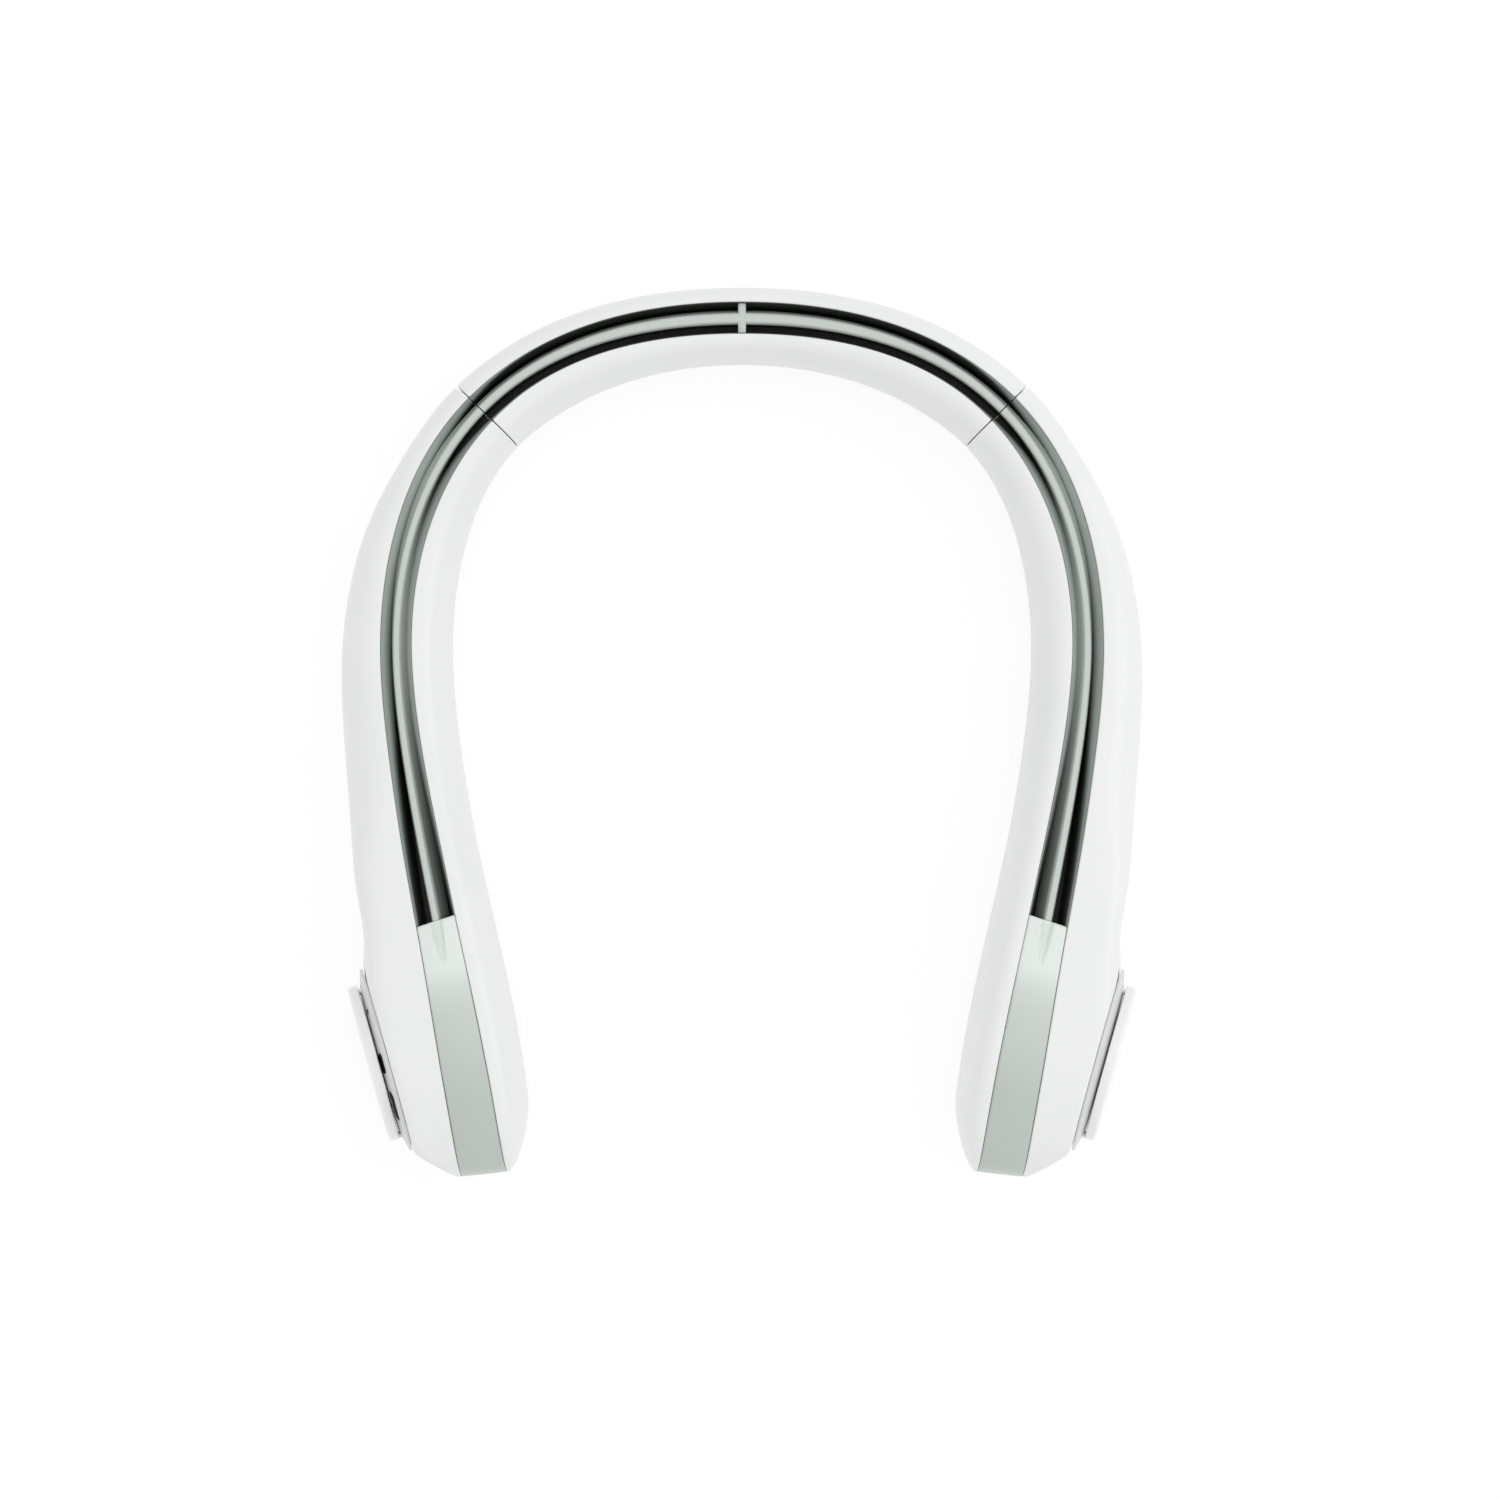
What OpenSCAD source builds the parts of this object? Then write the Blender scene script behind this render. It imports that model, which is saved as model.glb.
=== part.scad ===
// Electric neck fan: a stiff band that rests round the neck, with a blower in each end
// and an air slot along its top.
// It lies flat on its underside. X runs across, Y towards the back of the neck, Z up, all in millimetres.
// The right arm is drawn, and the left one is its mirror image, with the controls added.

/* [Centre line of the slot] */
// Half span of the slot's centre line where it is widest
line_half_span = 88.3; // [84:0.1:94]
// Distance forward of the origin at the back of the neck
line_back_y = 105.7; // [99:0.1:112]
// Distance forward of the origin where the line is widest
line_wide_y = 22.4; // [14:0.1:32]
// Distance behind the origin at the tips
line_end_y = 111.9; // [106:0.1:120]
// Half span of the line at the tips
line_end_x = 66; // [60:0.1:72]
// Lean of the line at the tips in degrees
line_end_lean = 6.4; // [3:0.1:10]
// How far the first curve leaves the back of the neck level
back_pull = 71.5; // [65:0.1:77]
// How far the first curve comes straight into the widest point
side_pull_up = 36.2; // [32:0.1:41]
// How far the second curve leaves the widest point straight
side_pull_down = 34; // [29:0.1:40]
// How far the second curve runs straight into the tip
end_pull = 45.8; // [39:0.1:52]
// Length of the body past the end of the line
tip_reach = 2; // [1.2:0.1:3]

/* [Body] */
// Greatest reach of the body outwards from the line, without its shoulder
outer_reach = 20.5; // [19.8:0.1:21.5]
// How much further the shoulder round the flat face reaches
shoulder_reach = 3.2; // [2.6:0.1:3.8]
// Greatest reach of the body inwards from the line
inner_reach = 12.9; // [12.4:0.1:14]
// Height of the pods
pod_height = 51.2; // [50.6:0.1:53]
// Half width of the slot and panel where they are widest
slot_half = 5.85; // [5.6:0.05:6.1]
// Thickness of the moulded walls
wall = 1.8; // [1.4:0.1:2.1]
// Half width of the flat underside
base_half = 6.5; // [5:0.1:7]
// Half width of the body at its blunt tip
tip_half = 6.4; // [6.2:0.1:7.4]
// Half height of the body at its blunt tip
tip_half_height = 6; // [4:0.1:8]
// Gap between the two half shells underneath
seam_gap = 0.12; // [0.06:0.01:0.3]

/* [Hinges] */
// Distance along the line from the back of the neck to a hinge
hinge_run = 73; // [68:0.5:78]
// Distance of the hinge pin outside the line
pin_offset = 6.1; // [6:0.05:6.15]
// Radius of the hinge pin
pin_radius = 0.75; // [0.6:0.05:0.8]
// Wall of the hinge barrel round its pin
barrel_wall = 0.8; // [0.7:0.05:0.9]
// Height of the hinge barrel
barrel_height = 13; // [11:0.5:14]
// Thickness of the hinge leaves
leaf_thickness = 1; // [0.8:0.1:1.2]
// Length of the hinge leaves
leaf_length = 11; // [9:0.5:12]
// Play of the pin in its barrel
pin_play = 0.05; // [0.02:0.01:0.09]
// Gap between neck section and arm at the seam
joint_gap = 0.3; // [0.2:0.05:0.5]
// Angle that an arm opens in degrees
arm_opening = 8; // [4:0.5:12]

/* [Air path] */
// Depth of the air duct below the top edge
duct_depth = 17; // [14:0.5:19]
// Thickness of the duct's walls
duct_wall = 0.9; // [0.8:0.1:1.2]
// How far the duct's walls lean in where they lean most
duct_lean = 1.8; // [0:0.1:1.9]
// Depth at which the duct's walls stand upright again
lean_depth = 7; // [5:0.5:9]
// Width of the guide fin's crest at the back of the neck
fin_crest = 3.1; // [2.6:0.1:3.4]
// How much narrower the crest is in the arms, as a share
fin_taper_share = 0.34; // [0:0.01:0.4]
// How far each flank of the guide fin slopes out under its crest
fin_flare = 0.7; // [0.3:0.05:0.8]
// Depth of the guide fin's crest below the top edge
fin_sink = 1.3; // [0.8:0.1:2]
// Length of the top panel along the line, up to the tip
panel_length = 68; // [63:0.5:72]
// Thickness of the top panel
panel_thickness = 1.8; // [1.4:0.1:2.2]
// Gap round the top panel
panel_gap = 0.2; // [0.15:0.05:0.4]
// Length of the groove in the panel that the guide fin runs out in
groove_length = 10.8; // [6:0.1:14]

/* [Fan pod] */
// Distance across from the origin to the middle of the flat face
face_x = 91.5; // [91:0.1:92]
// Distance behind the origin of the middle of the flat face
face_y = 85.1; // [84:0.1:86.4]
// Turn of the flat face in degrees
face_turn = 15.5; // [14:0.5:17]
// Lean of the flat face in degrees: its top leans in, over the neck
face_tilt = 7; // [5:0.5:8]
// Margin of the pod's height round the intake ring
ring_margin = 1.4; // [1:0.1:1.8]
// Width of the intake ring's slope
ring_band = 6; // [5.6:0.1:6.4]
// Height of the ring's slope
ring_rise = 1.5; // [1.2:0.1:1.6]
// How much smaller the hole in the shell is that takes the ring
socket_inset = 2; // [1.7:0.1:2.2]
// Depth of the ring inside the shell
ring_depth = 7.4; // [6.8:0.1:8]
// How much smaller the funnel's throat is than its mouth
throat_inset = 4.6; // [3.8:0.1:5.2]
// How much smaller the round cover is than the ring
cover_inset = 3.7; // [3:0.1:4.4]
// Thickness of the round cover at its rim
cover_rim = 2.7; // [2.2:0.1:3]
// Rise of the round cover's middle over its rim
cover_dome = 0.3; // [0.2:0.1:0.6]
// Height of the cover's back over the flat face
cover_standoff = 2.4; // [2.3:0.1:3.2]
// Radius of the cover's posts
post_radius = 1.2; // [1:0.1:1.4]

/* [Blower] */
// How much smaller the impeller is than the ring's mouth
impeller_inset = 1.8; // [1.6:0.1:2.7]
// Depth of the impeller
impeller_depth = 9.5; // [8.5:0.1:10]
// Number of impeller blades
blade_count = 24; // [16:1:30]
// Radius of the impeller's hub as a share of the impeller's
hub_size_share = 0.54; // [0.5:0.01:0.57]
// Radius of the impeller's shaft
shaft_radius = 1; // [0.75:0.05:1.25]
// Thickness of the battery
battery_thickness = 6; // [5:0.1:6.4]
// Length of the battery
battery_length = 34; // [28:0.5:36]
// Height of the battery
battery_height = 24; // [20:0.5:26]

/* [Controls] */
// Length of the button
button_length = 5.2; // [4.5:0.1:6]
// Width of the button
button_width = 2; // [1.6:0.1:2.1]
// Travel of the button
button_travel = 0.6; // [0.4:0.05:0.8]
// Turn of the button round the ring from its top in degrees
button_turn = 1; // [-3:0.5:4]
// Turn of the charging port round the ring from its top in degrees
port_turn = -33; // [-38:0.5:-30]
// Turn of the light round the ring from its top in degrees
lens_turn = 43; // [38:0.5:50]
// Radius of the light
lens_radius = 0.65; // [0.5:0.05:0.9]

/* [Screws] */
// Radius of the screws
screw_radius = 1; // [0.8:0.05:1.1]
// Radius of the screw heads
screw_head_radius = 1.9; // [1.7:0.05:2]
// Thickness of the screw heads
screw_head = 0.8; // [0.6:0.05:0.9]
// Length of the screws under their heads
screw_length = 4.5; // [4:0.1:5]

/* [Hidden] */
$fn = 48;
// Overrun of every cut
over = 0.5;
// Smallest gap between pieces that are fixed together
snug = 0.05;
// Points along each curve of the centre line when its length is measured
line_samples = 60;
// Places along the line where the widths and heights below are given, as shares of its length
place_shares = [0, 0.2, 0.27, 0.34, 0.42, 0.5, 0.6, 0.7, 0.78, 0.885, 0.95];
// Reach outwards at those places, as shares of the greatest
outer_shares = [0.439, 0.454, 0.483, 0.511, 0.644, 0.737, 0.824, 0.927, 1, 1, 0.893];
// Reach inwards at those places, as shares of the greatest
inner_shares = [0.787, 0.912, 0.899, 0.938, 0.989, 1, 0.967, 0.935, 0.958, 0.988, 0.969];
// Half width of the slot at those places, as shares of the greatest
slot_shares = [0.697, 0.68, 0.718, 0.728, 0.691, 0.681, 0.73, 0.832, 0.887, 0.981, 1];
// Height at those places, as shares of the pods' height
height_shares = [0.61, 0.63, 0.64, 0.66, 0.69, 0.73, 0.785, 0.865, 0.93, 1, 1];
// Lean of the duct's walls at those places, as shares of the greatest
lean_shares = [0, 0, 0.3, 0.8, 1, 1, 0.9, 0.5, 0.2, 0, 0];
// Roundness of the body's sections: 2 is an ellipse, and more is squarer
band_power = 2.4;
pod_outer_power = 10;
pod_inner_power = 3;
tip_power = 2.4;
// Roundness of the outline towards the tip, on the outside and on the inside: 1 is a straight chamfer
outer_close_power = 1.05;
inner_close_power = 1.35;
// Where the sections turn squarer towards the pod, as shares of the line's length
square_from_share = 0.62;
square_to_share = 0.86;
// Where the outline starts to close in towards the tip, as shares of the line's length
outer_close_share = 0.9675;
inner_close_share = 0.947;
// Where the shoulder round the flat face starts and where it is full, as shares of the line's length
shoulder_from_share = 0.74;
shoulder_full_share = 0.84;
// Where the body's outer side starts to lean with the flat face, and where it leans fully,
// as shares of the line's length
lean_from_share = 0.7;
lean_full_share = 0.8;
// Half width of the flat underside where the body is narrow, as a share of its reach
underside_share = 0.6;
// Share of the line's length over which the guide fin narrows
taper_run_share = 0.4;
// Steps round a section from slot to side and from side to seam
crown_steps = 6;
base_steps = 5;
// Steps along an arm before and after the middle of its pod, and along half the neck section
arm_steps = 19;
tip_steps = 8;
neck_steps = 7;

// The centre line: a cubic curve from the back of the neck to the widest point,
// and one from there to the tip

function cubic(a, b, c, d, t) =
    a * pow(1 - t, 3) + b * 3 * t * pow(1 - t, 2) + c * 3 * t * t * (1 - t) + d * pow(t, 3);
function cubic_way(a, b, c, d, t) = (b - a) * pow(1 - t, 2) + (c - b) * 2 * t * (1 - t) + (d - c) * t * t;
line_points = [
    [0, line_back_y],
    [back_pull, line_back_y],
    [line_half_span, line_wide_y + side_pull_up],
    [line_half_span, line_wide_y],
    [line_half_span, line_wide_y - side_pull_down],
    [line_end_x + end_pull * sin(line_end_lean), end_pull * cos(line_end_lean) - line_end_y],
    [line_end_x, -line_end_y]];
function on_line(v) = v < 1
    ? cubic(line_points[0], line_points[1], line_points[2], line_points[3], v)
    : cubic(line_points[3], line_points[4], line_points[5], line_points[6], v - 1);
function line_way(v) = v < 1
    ? cubic_way(line_points[0], line_points[1], line_points[2], line_points[3], v)
    : cubic_way(line_points[3], line_points[4], line_points[5], line_points[6], v - 1);
line_steps = [for (i = [0 : 2 * line_samples]) i / line_samples];
function line_step(i) = norm(on_line(line_steps[i]) - on_line(line_steps[i - 1]));
line_runs = [for (i = 0, run = 0; i <= 2 * line_samples;
    i = i + 1, run = i <= 2 * line_samples ? run + line_step(i) : run) run];
line_table = [for (i = [0 : 2 * line_samples]) [line_runs[i], line_steps[i]]];
line_length = line_runs[2 * line_samples];
tip_run = line_length + tip_reach;
panel_run = tip_run - panel_length;

function unit(v) = v / norm(v);
function side_of(s) = s < 0 ? -1 : 1;
// Point of the line and its direction, a given run from the back of the neck, which is negative on the left
function spot(s) = let (r = abs(s), p = on_line(lookup(min(r, line_length), line_table)))
    let (q = p + max(0, r - line_length) * way_right(r)) [q[0] * side_of(s), q[1]];
function way_right(r) = unit(line_way(lookup(min(r, line_length), line_table)));
function way(s) = let (w = way_right(abs(s))) [w[0], w[1] * side_of(s)];
function outward(s) = let (w = way(s)) [-w[1], w[0]];
// A place in space: run along the line, offset outwards, height, and a small shift along the line
function place(s, u, z, shift = 0) = let (p = spot(s) + outward(s) * u + way(s) * shift) [p[0], p[1], z];

// Smooth curve through given values, level at both ends

function row_of(k, s, i = 0) = i >= len(k) - 2 || s < k[i + 1][0] ? i : row_of(k, s, i + 1);
function lean_at(k, i) = i == 0 || i == len(k) - 1 ? 0
    : (k[i + 1][1] - k[i - 1][1]) / (k[i + 1][0] - k[i - 1][0]);
function through(k, s) = let (
    i = row_of(k, s),
    w = k[i + 1][0] - k[i][0],
    t = max(0, min(1, (s - k[i][0]) / w)))
    k[i][1] * (1 + 2 * t) * pow(1 - t, 2) + k[i + 1][1] * t * t * (3 - 2 * t)
    + w * (lean_at(k, i) * t * pow(1 - t, 2) - lean_at(k, i + 1) * t * t * (1 - t));
function rows(shares, size) = [for (i = [0 : len(shares) - 1])
    [place_shares[i] * line_length, shares[i] * size]];
outer_rows = rows(outer_shares, outer_reach);
inner_rows = rows(inner_shares, inner_reach);
slot_rows = rows(slot_shares, slot_half);
height_rows = rows(height_shares, pod_height);
lean_rows = rows(lean_shares, duct_lean);
function eased(t) = let (c = max(0, min(1, t))) c * c * (3 - 2 * c);

// The body's section at a run along the line

face_middle = [face_x, -face_y];
face_out = [cos(face_turn), -sin(face_turn)];
pod_middle = pod_height / 2;
ring_radius = pod_height / 2 - ring_margin;
mouth_radius = ring_radius - ring_band;
socket_radius = ring_radius - socket_inset;
throat_radius = mouth_radius - throat_inset;
cover_radius = ring_radius - cover_inset;
impeller_radius = mouth_radius - impeller_inset;
hub_radius = impeller_radius * hub_size_share;
// Port, button and light stand midway between the mouth and the hole's edge
control_radius = (mouth_radius + socket_radius) / 2;
function nearest_run(p, from, to, n) = let (
    d = [for (i = [0 : n]) norm(spot(from + (to - from) * i / n) - p)])
    from + (to - from) * search(min(d), d)[0] / n;
pod_run = nearest_run(face_middle, panel_run, line_length, 4 * line_samples);
function closing(s, from, power) = s <= from ? 1
    : pow(max(0, 1 - pow(min(1, (s - from) / (tip_run - from)), power)), 1 / power);
outer_close = outer_close_share * line_length;
inner_close = inner_close_share * line_length;
function shoulder_at(s) = shoulder_reach
    * eased((s / line_length - shoulder_from_share) / (shoulder_full_share - shoulder_from_share));
function outer_at(s) = tip_half
    + (through(outer_rows, s) + shoulder_at(s) - tip_half) * closing(s, outer_close, outer_close_power);
function inner_at(s) = tip_half
    + (through(inner_rows, s) - tip_half) * closing(s, inner_close, inner_close_power);
function slot_at(s) = through(slot_rows, abs(s));
function half_height(s) = let (r = abs(s))
    tip_half_height + (through(height_rows, r) / 2 - tip_half_height) * closing(r, pod_run, tip_power);
function middle_at(s) = let (r = abs(s)) r > pod_run ? pod_middle : through(height_rows, r) / 2;
function top_at(s) = middle_at(s) + half_height(s);
function reach_at(s, side) = side > 0 ? outer_at(abs(s)) : inner_at(abs(s));
function power_at(s, side) = let (
    t = eased((abs(s) / line_length - square_from_share) / (square_to_share - square_from_share)))
    band_power + ((side > 0 ? pod_outer_power : pod_inner_power) - band_power) * t;

// The outer side leans with the flat face round the pod
function pod_lean(s) = let (r = abs(s) / line_length)
    tan(face_tilt) * eased((r - lean_from_share) / (lean_full_share - lean_from_share))
    * closing(abs(s), outer_close, outer_close_power);

// Reach of the wall behind the flat face, at a run and a height
function dot(a, b) = a[0] * b[0] + a[1] * b[1];
function face_limit(s, z) = let (d = dot(outward(abs(s)), face_out))
    d > 0 ? (dot(face_middle - spot(abs(s)), face_out)
        - (z - pod_middle) * tan(face_tilt) - wall / cos(face_tilt)) / d
    : 2 * outer_reach;

// Half a section from the slot's edge over the side to the seam underneath, as offsets and heights
function skin(s, side, inset) = let (
    slot = slot_at(s),
    drawn = reach_at(s, side) - inset,
    reach = inset > 0 ? max(drawn, slot + seam_gap) : drawn,
    h = half_height(s) - inset,
    m = middle_at(s),
    p = power_at(s, side),
    lean = side > 0 ? pod_lean(s) : 0,
    walled = side > 0 && inset > 0,
    base = min(base_half, reach * underside_share),
    crown = [for (i = [0 : crown_steps]) let (
        a = 90 * i / crown_steps,
        k = pow(sin(a), 2 / p),
        rise = h * pow(cos(a), 2 / p))
        [slot + (reach - slot - lean * rise) * k, m + rise]],
    foot = [for (i = [1 : base_steps]) let (
        a = 90 * i / base_steps,
        k = pow(cos(a), 2 / p),
        fall = h * pow(sin(a), 2 / p))
        [base + (reach - base + lean * fall) * k, m - fall]],
    seam = [[seam_gap / 2, m - h]])
    [for (q = concat(crown, foot, seam)) let (u = walled ? min(q[0], face_limit(s, q[1])) : q[0])
        [side * u, q[1]]];

// Half a section's inner skin drawn in to the split, which closes the shell at its tip
function closed_skin(s, side) = let (
    slot = slot_at(s),
    m = middle_at(s),
    top = top_at(s) - panel_thickness - panel_gap,
    low = m - half_height(s),
    n = crown_steps + base_steps + 2)
    [for (i = [0 : n - 1]) i == 0 ? [side * slot, top]
        : i < crown_steps ? [side * max(seam_gap / 2, slot * (1 - i / (crown_steps - 1))), top]
        : [side * seam_gap / 2, top + (low - top) * (i - crown_steps + 1) / (n - crown_steps)]];

// A solid through rings of points, each an outer and an inner skin of the same length

module skinned(outside, inside, flip) {
    n = len(outside[0]);
    m = len(outside);
    rings = [for (i = [0 : m - 1]) concat(outside[i], [for (j = [n - 1 : -1 : 0]) inside[i][j]])];
    k = 2 * n;
    sides = [for (i = [0 : m - 2]) for (j = [0 : k - 1]) let (
        a = i * k + j,
        b = i * k + (j + 1) % k,
        c = (i + 1) * k + (j + 1) % k,
        d = (i + 1) * k + j)
        for (t = [[a, b, c], [a, c, d]]) t];
    ends = [for (i = [0, m - 1]) for (j = [0 : n - 2]) let (
        a = i * k + j,
        b = i * k + j + 1,
        c = i * k + k - 2 - j,
        d = i * k + k - 1 - j)
        for (t = [[a, b, c], [a, c, d]]) i == 0 ? [t[2], t[1], t[0]] : t];
    faces = concat(sides, ends);
    polyhedron(points = [for (r = rings) for (p = r) p],
        faces = flip ? [for (f = faces) [f[2], f[1], f[0]]] : faces);
}

// A solid through rings of points whose ends are convex or fan out from their first point
module lofted(rings, flip = false) {
    k = len(rings[0]);
    m = len(rings);
    sides = [for (i = [0 : m - 2]) for (j = [0 : k - 1]) let (
        a = i * k + j,
        b = i * k + (j + 1) % k,
        c = (i + 1) * k + (j + 1) % k,
        d = (i + 1) * k + j)
        for (t = [[a, b, c], [a, c, d]]) t];
    ends = [for (i = [0, m - 1]) for (j = [1 : k - 2])
        i == 0 ? [i * k + j + 1, i * k + j, i * k] : [i * k, i * k + j, i * k + j + 1]];
    faces = concat(sides, ends);
    polyhedron(points = [for (r = rings) for (p = r) p],
        faces = flip ? [for (f = faces) [f[2], f[1], f[0]]] : faces);
}

// Runs along the line where sections are taken
arm_start = hinge_run + joint_gap / 2;
arm_runs = concat(
    [for (i = [0 : arm_steps]) arm_start + (pod_run - arm_start) * i / arm_steps],
    [for (i = [1 : tip_steps]) pod_run + (tip_run - pod_run) * sin(90 * i / tip_steps)]);
neck_end = hinge_run - joint_gap / 2;
neck_runs = [for (i = [-neck_steps : neck_steps]) neck_end * i / neck_steps];

// The arm's first section leans back outside the pin, so that the arm can open
over_angle = 1;
function bevel(s, u) = s > arm_start ? 0 : max(0, u - pin_offset) * tan(arm_opening + over_angle);

module arm_half(side) {
    last = len(arm_runs) - 1;
    skinned(
        [for (s = arm_runs) [for (q = skin(s, side, 0)) place(s, q[0], q[1], bevel(s, q[0]))]],
        [for (i = [0 : last]) let (
            s = arm_runs[i],
            row = i == last ? closed_skin(s, side) : skin(s, side, wall))
            [for (q = row) place(s, q[0], q[1], bevel(s, q[0]))]],
        side < 0);
}

module neck_half(side) {
    skinned(
        [for (s = neck_runs) [for (q = skin(s, side, 0)) place(s, q[0], q[1])]],
        [for (s = neck_runs) [for (q = skin(s, side, wall)) place(s, q[0], q[1])]],
        side < 0);
}

module on_side(left) {
    if (left) mirror([1, 0, 0]) children();
    else children();
}

// Stands pieces on the flat face, with their axis pointing out of it and their X pointing down along it
module on_face() {
    translate([face_x, -face_y, pod_middle]) rotate([0, 0, -face_turn])
        rotate([0, 90 - face_tilt, 0]) children();
}

// Turns a place round the ring from its top, towards the arm for positive angles
module round_ring(turn) {
    rotate([0, 0, 180 - turn]) children();
}

// Stands pieces at a run along the line, with X outwards and Y against the line
module at_run(s, u = 0, z = 0) {
    p = place(s, u, z);
    o = outward(s);
    translate(p) rotate([0, 0, atan2(o[1], o[0])]) children();
}

// Screws from below: a tab of the inner shell reaches over the outer shell's floor

screw_tab = screw_length + over;
head_margin = 0.4;
screw_offset = screw_head_radius + head_margin;
tab_wall = 0.9;
tab_half = screw_radius + tab_wall;
tab_reach = screw_offset + tab_half;
tab_foot = 2;
// Places of an arm's screws between its hinge and its panel, as shares
arm_screw_shares = [0.24, 0.6, 0.96];
neck_screw_share = 0.6;
neck_screw_run = neck_screw_share * hinge_run;
arm_screw_runs = [for (f = arm_screw_shares) hinge_run + (panel_run - hinge_run) * f];
foot_sink = 0.4;
drive_share = 0.8;

module screw_tab_at(s) {
    at_run(s, 0, 0) {
        translate([-tab_foot, -tab_half, wall + snug])
            cube([tab_foot + tab_reach, 2 * tab_half, screw_tab]);
        translate([-tab_foot, -tab_half, wall - foot_sink])
            cube([tab_foot - seam_gap, 2 * tab_half, screw_tab]);
    }
}

module screw_pilot_at(s) {
    at_run(s, screw_offset, 0) translate([0, 0, wall - foot_sink])
        cylinder(r = screw_radius + snug / 2, h = screw_tab + over);
}

module screw_hole_at(s) {
    at_run(s, screw_offset, 0) {
        translate([0, 0, -over]) cylinder(r = screw_radius + 2 * snug, h = wall + 2 * over);
        translate([0, 0, -over]) cylinder(r = screw_head_radius + 2 * snug, h = screw_head + over);
    }
}

module screw_at(s) {
    at_run(s, screw_offset, 0) {
        difference() {
            cylinder(r = screw_head_radius, h = screw_head);
            translate([0, 0, -over])
                cylinder(r = screw_radius * drive_share, h = screw_head / 2 + over, $fn = 6);
        }
        translate([0, 0, screw_head]) cylinder(r = screw_radius, h = screw_length);
    }
}

// Hinges: a barrel of three knuckles just inside the outer wall

barrel_radius = pin_radius + pin_play + barrel_wall;
barrel_low = middle_at(hinge_run) - barrel_height / 2;
knuckle = barrel_height / 3;
knuckle_gap = pin_play * 2;
stake_radius = 1.1;
stake_play = 0.1;
leaf_margin = 1;
stake_way = leaf_length - stake_radius - leaf_margin;
// Heights of the two stakes, as shares of the barrel's height, and how far they reach into the wall
stake_shares = [0.25, 0.75];
stake_bite = 0.3;

module at_pin() {
    at_run(hinge_run, pin_offset, barrel_low) children();
}

module hinge_pin() {
    at_pin() cylinder(r = pin_radius, h = barrel_height);
}

// Leaf plate beside the barrel: it runs back along the neck or forward along the arm
module leaf_plate(ahead) {
    translate([-leaf_thickness / 2, ahead ? -leaf_length : barrel_radius + joint_gap, 0])
        cube([leaf_thickness, leaf_length - barrel_radius - joint_gap, barrel_height]);
}

module leaf_arm() {
    at_pin() difference() {
        union() {
            translate([0, 0, knuckle + knuckle_gap])
                cylinder(r = barrel_radius, h = knuckle - 2 * knuckle_gap);
            translate([-leaf_thickness / 2, -leaf_length, knuckle + knuckle_gap])
                cube([leaf_thickness, leaf_length, knuckle - 2 * knuckle_gap]);
            leaf_plate(true);
        }
        translate([0, 0, -over]) cylinder(r = pin_radius + pin_play, h = barrel_height + 2 * over);
        stake_holes(-1);
    }
}

module leaf_neck() {
    at_pin() difference() {
        union() {
            for (z = [0, 2 * knuckle]) {
                translate([0, 0, z]) cylinder(r = barrel_radius, h = knuckle);
                translate([-leaf_thickness / 2, 0, z]) cube([leaf_thickness, leaf_length, knuckle]);
            }
            leaf_plate(false);
        }
        translate([0, 0, -over]) cylinder(r = pin_radius + snug / 2, h = barrel_height + 2 * over);
        stake_holes(1);
    }
}

module stake_holes(dir) {
    for (k = stake_shares) translate([-leaf_thickness, dir * stake_way, barrel_height * k])
        rotate([0, 90, 0]) cylinder(r = stake_radius + stake_play, h = 2 * leaf_thickness);
}

// Stakes of the outer shell that hold a leaf
module stakes(dir) {
    reach = outer_at(hinge_run) - pin_offset - wall + stake_bite;
    at_pin() for (k = stake_shares)
        translate([-leaf_thickness / 2 - over, dir * stake_way, barrel_height * k])
            rotate([0, 90, 0]) cylinder(r = stake_radius, h = reach + leaf_thickness / 2 + over);
}

// Sleeve: the inner skin's section, swept about the pin

sleeve_wall = 1;
sleeve_back = 7;
sleeve_ahead = 6;
sleeve_play = 0.5;

module hinge_sleeve() {
    seam = hinge_run;
    outer_line = skin(seam, -1, wall + sleeve_play);
    inner_line = skin(seam, -1, wall + sleeve_play + sleeve_wall);
    far = pin_offset + inner_at(seam) - wall;
    near = pin_offset + slot_at(seam) + duct_wall + 2 * sleeve_wall;
    swing_back = asin(sleeve_back / far);
    swing_ahead = asin(sleeve_ahead / far);
    profile = concat(
        [for (q = outer_line) [pin_offset - q[0], q[1]]],
        [for (j = [len(inner_line) - 1 : -1 : 0]) [pin_offset - inner_line[j][0], inner_line[j][1]]]);
    at_run(seam, pin_offset, 0) rotate([0, 0, 180 - swing_back])
        rotate_extrude(angle = swing_back + swing_ahead, $fn = 72) intersection() {
            polygon(profile);
            translate([near, 0]) square([far, 2 * pod_height]);
        }
}

// Air duct: a channel under the slot, open at the top

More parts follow.
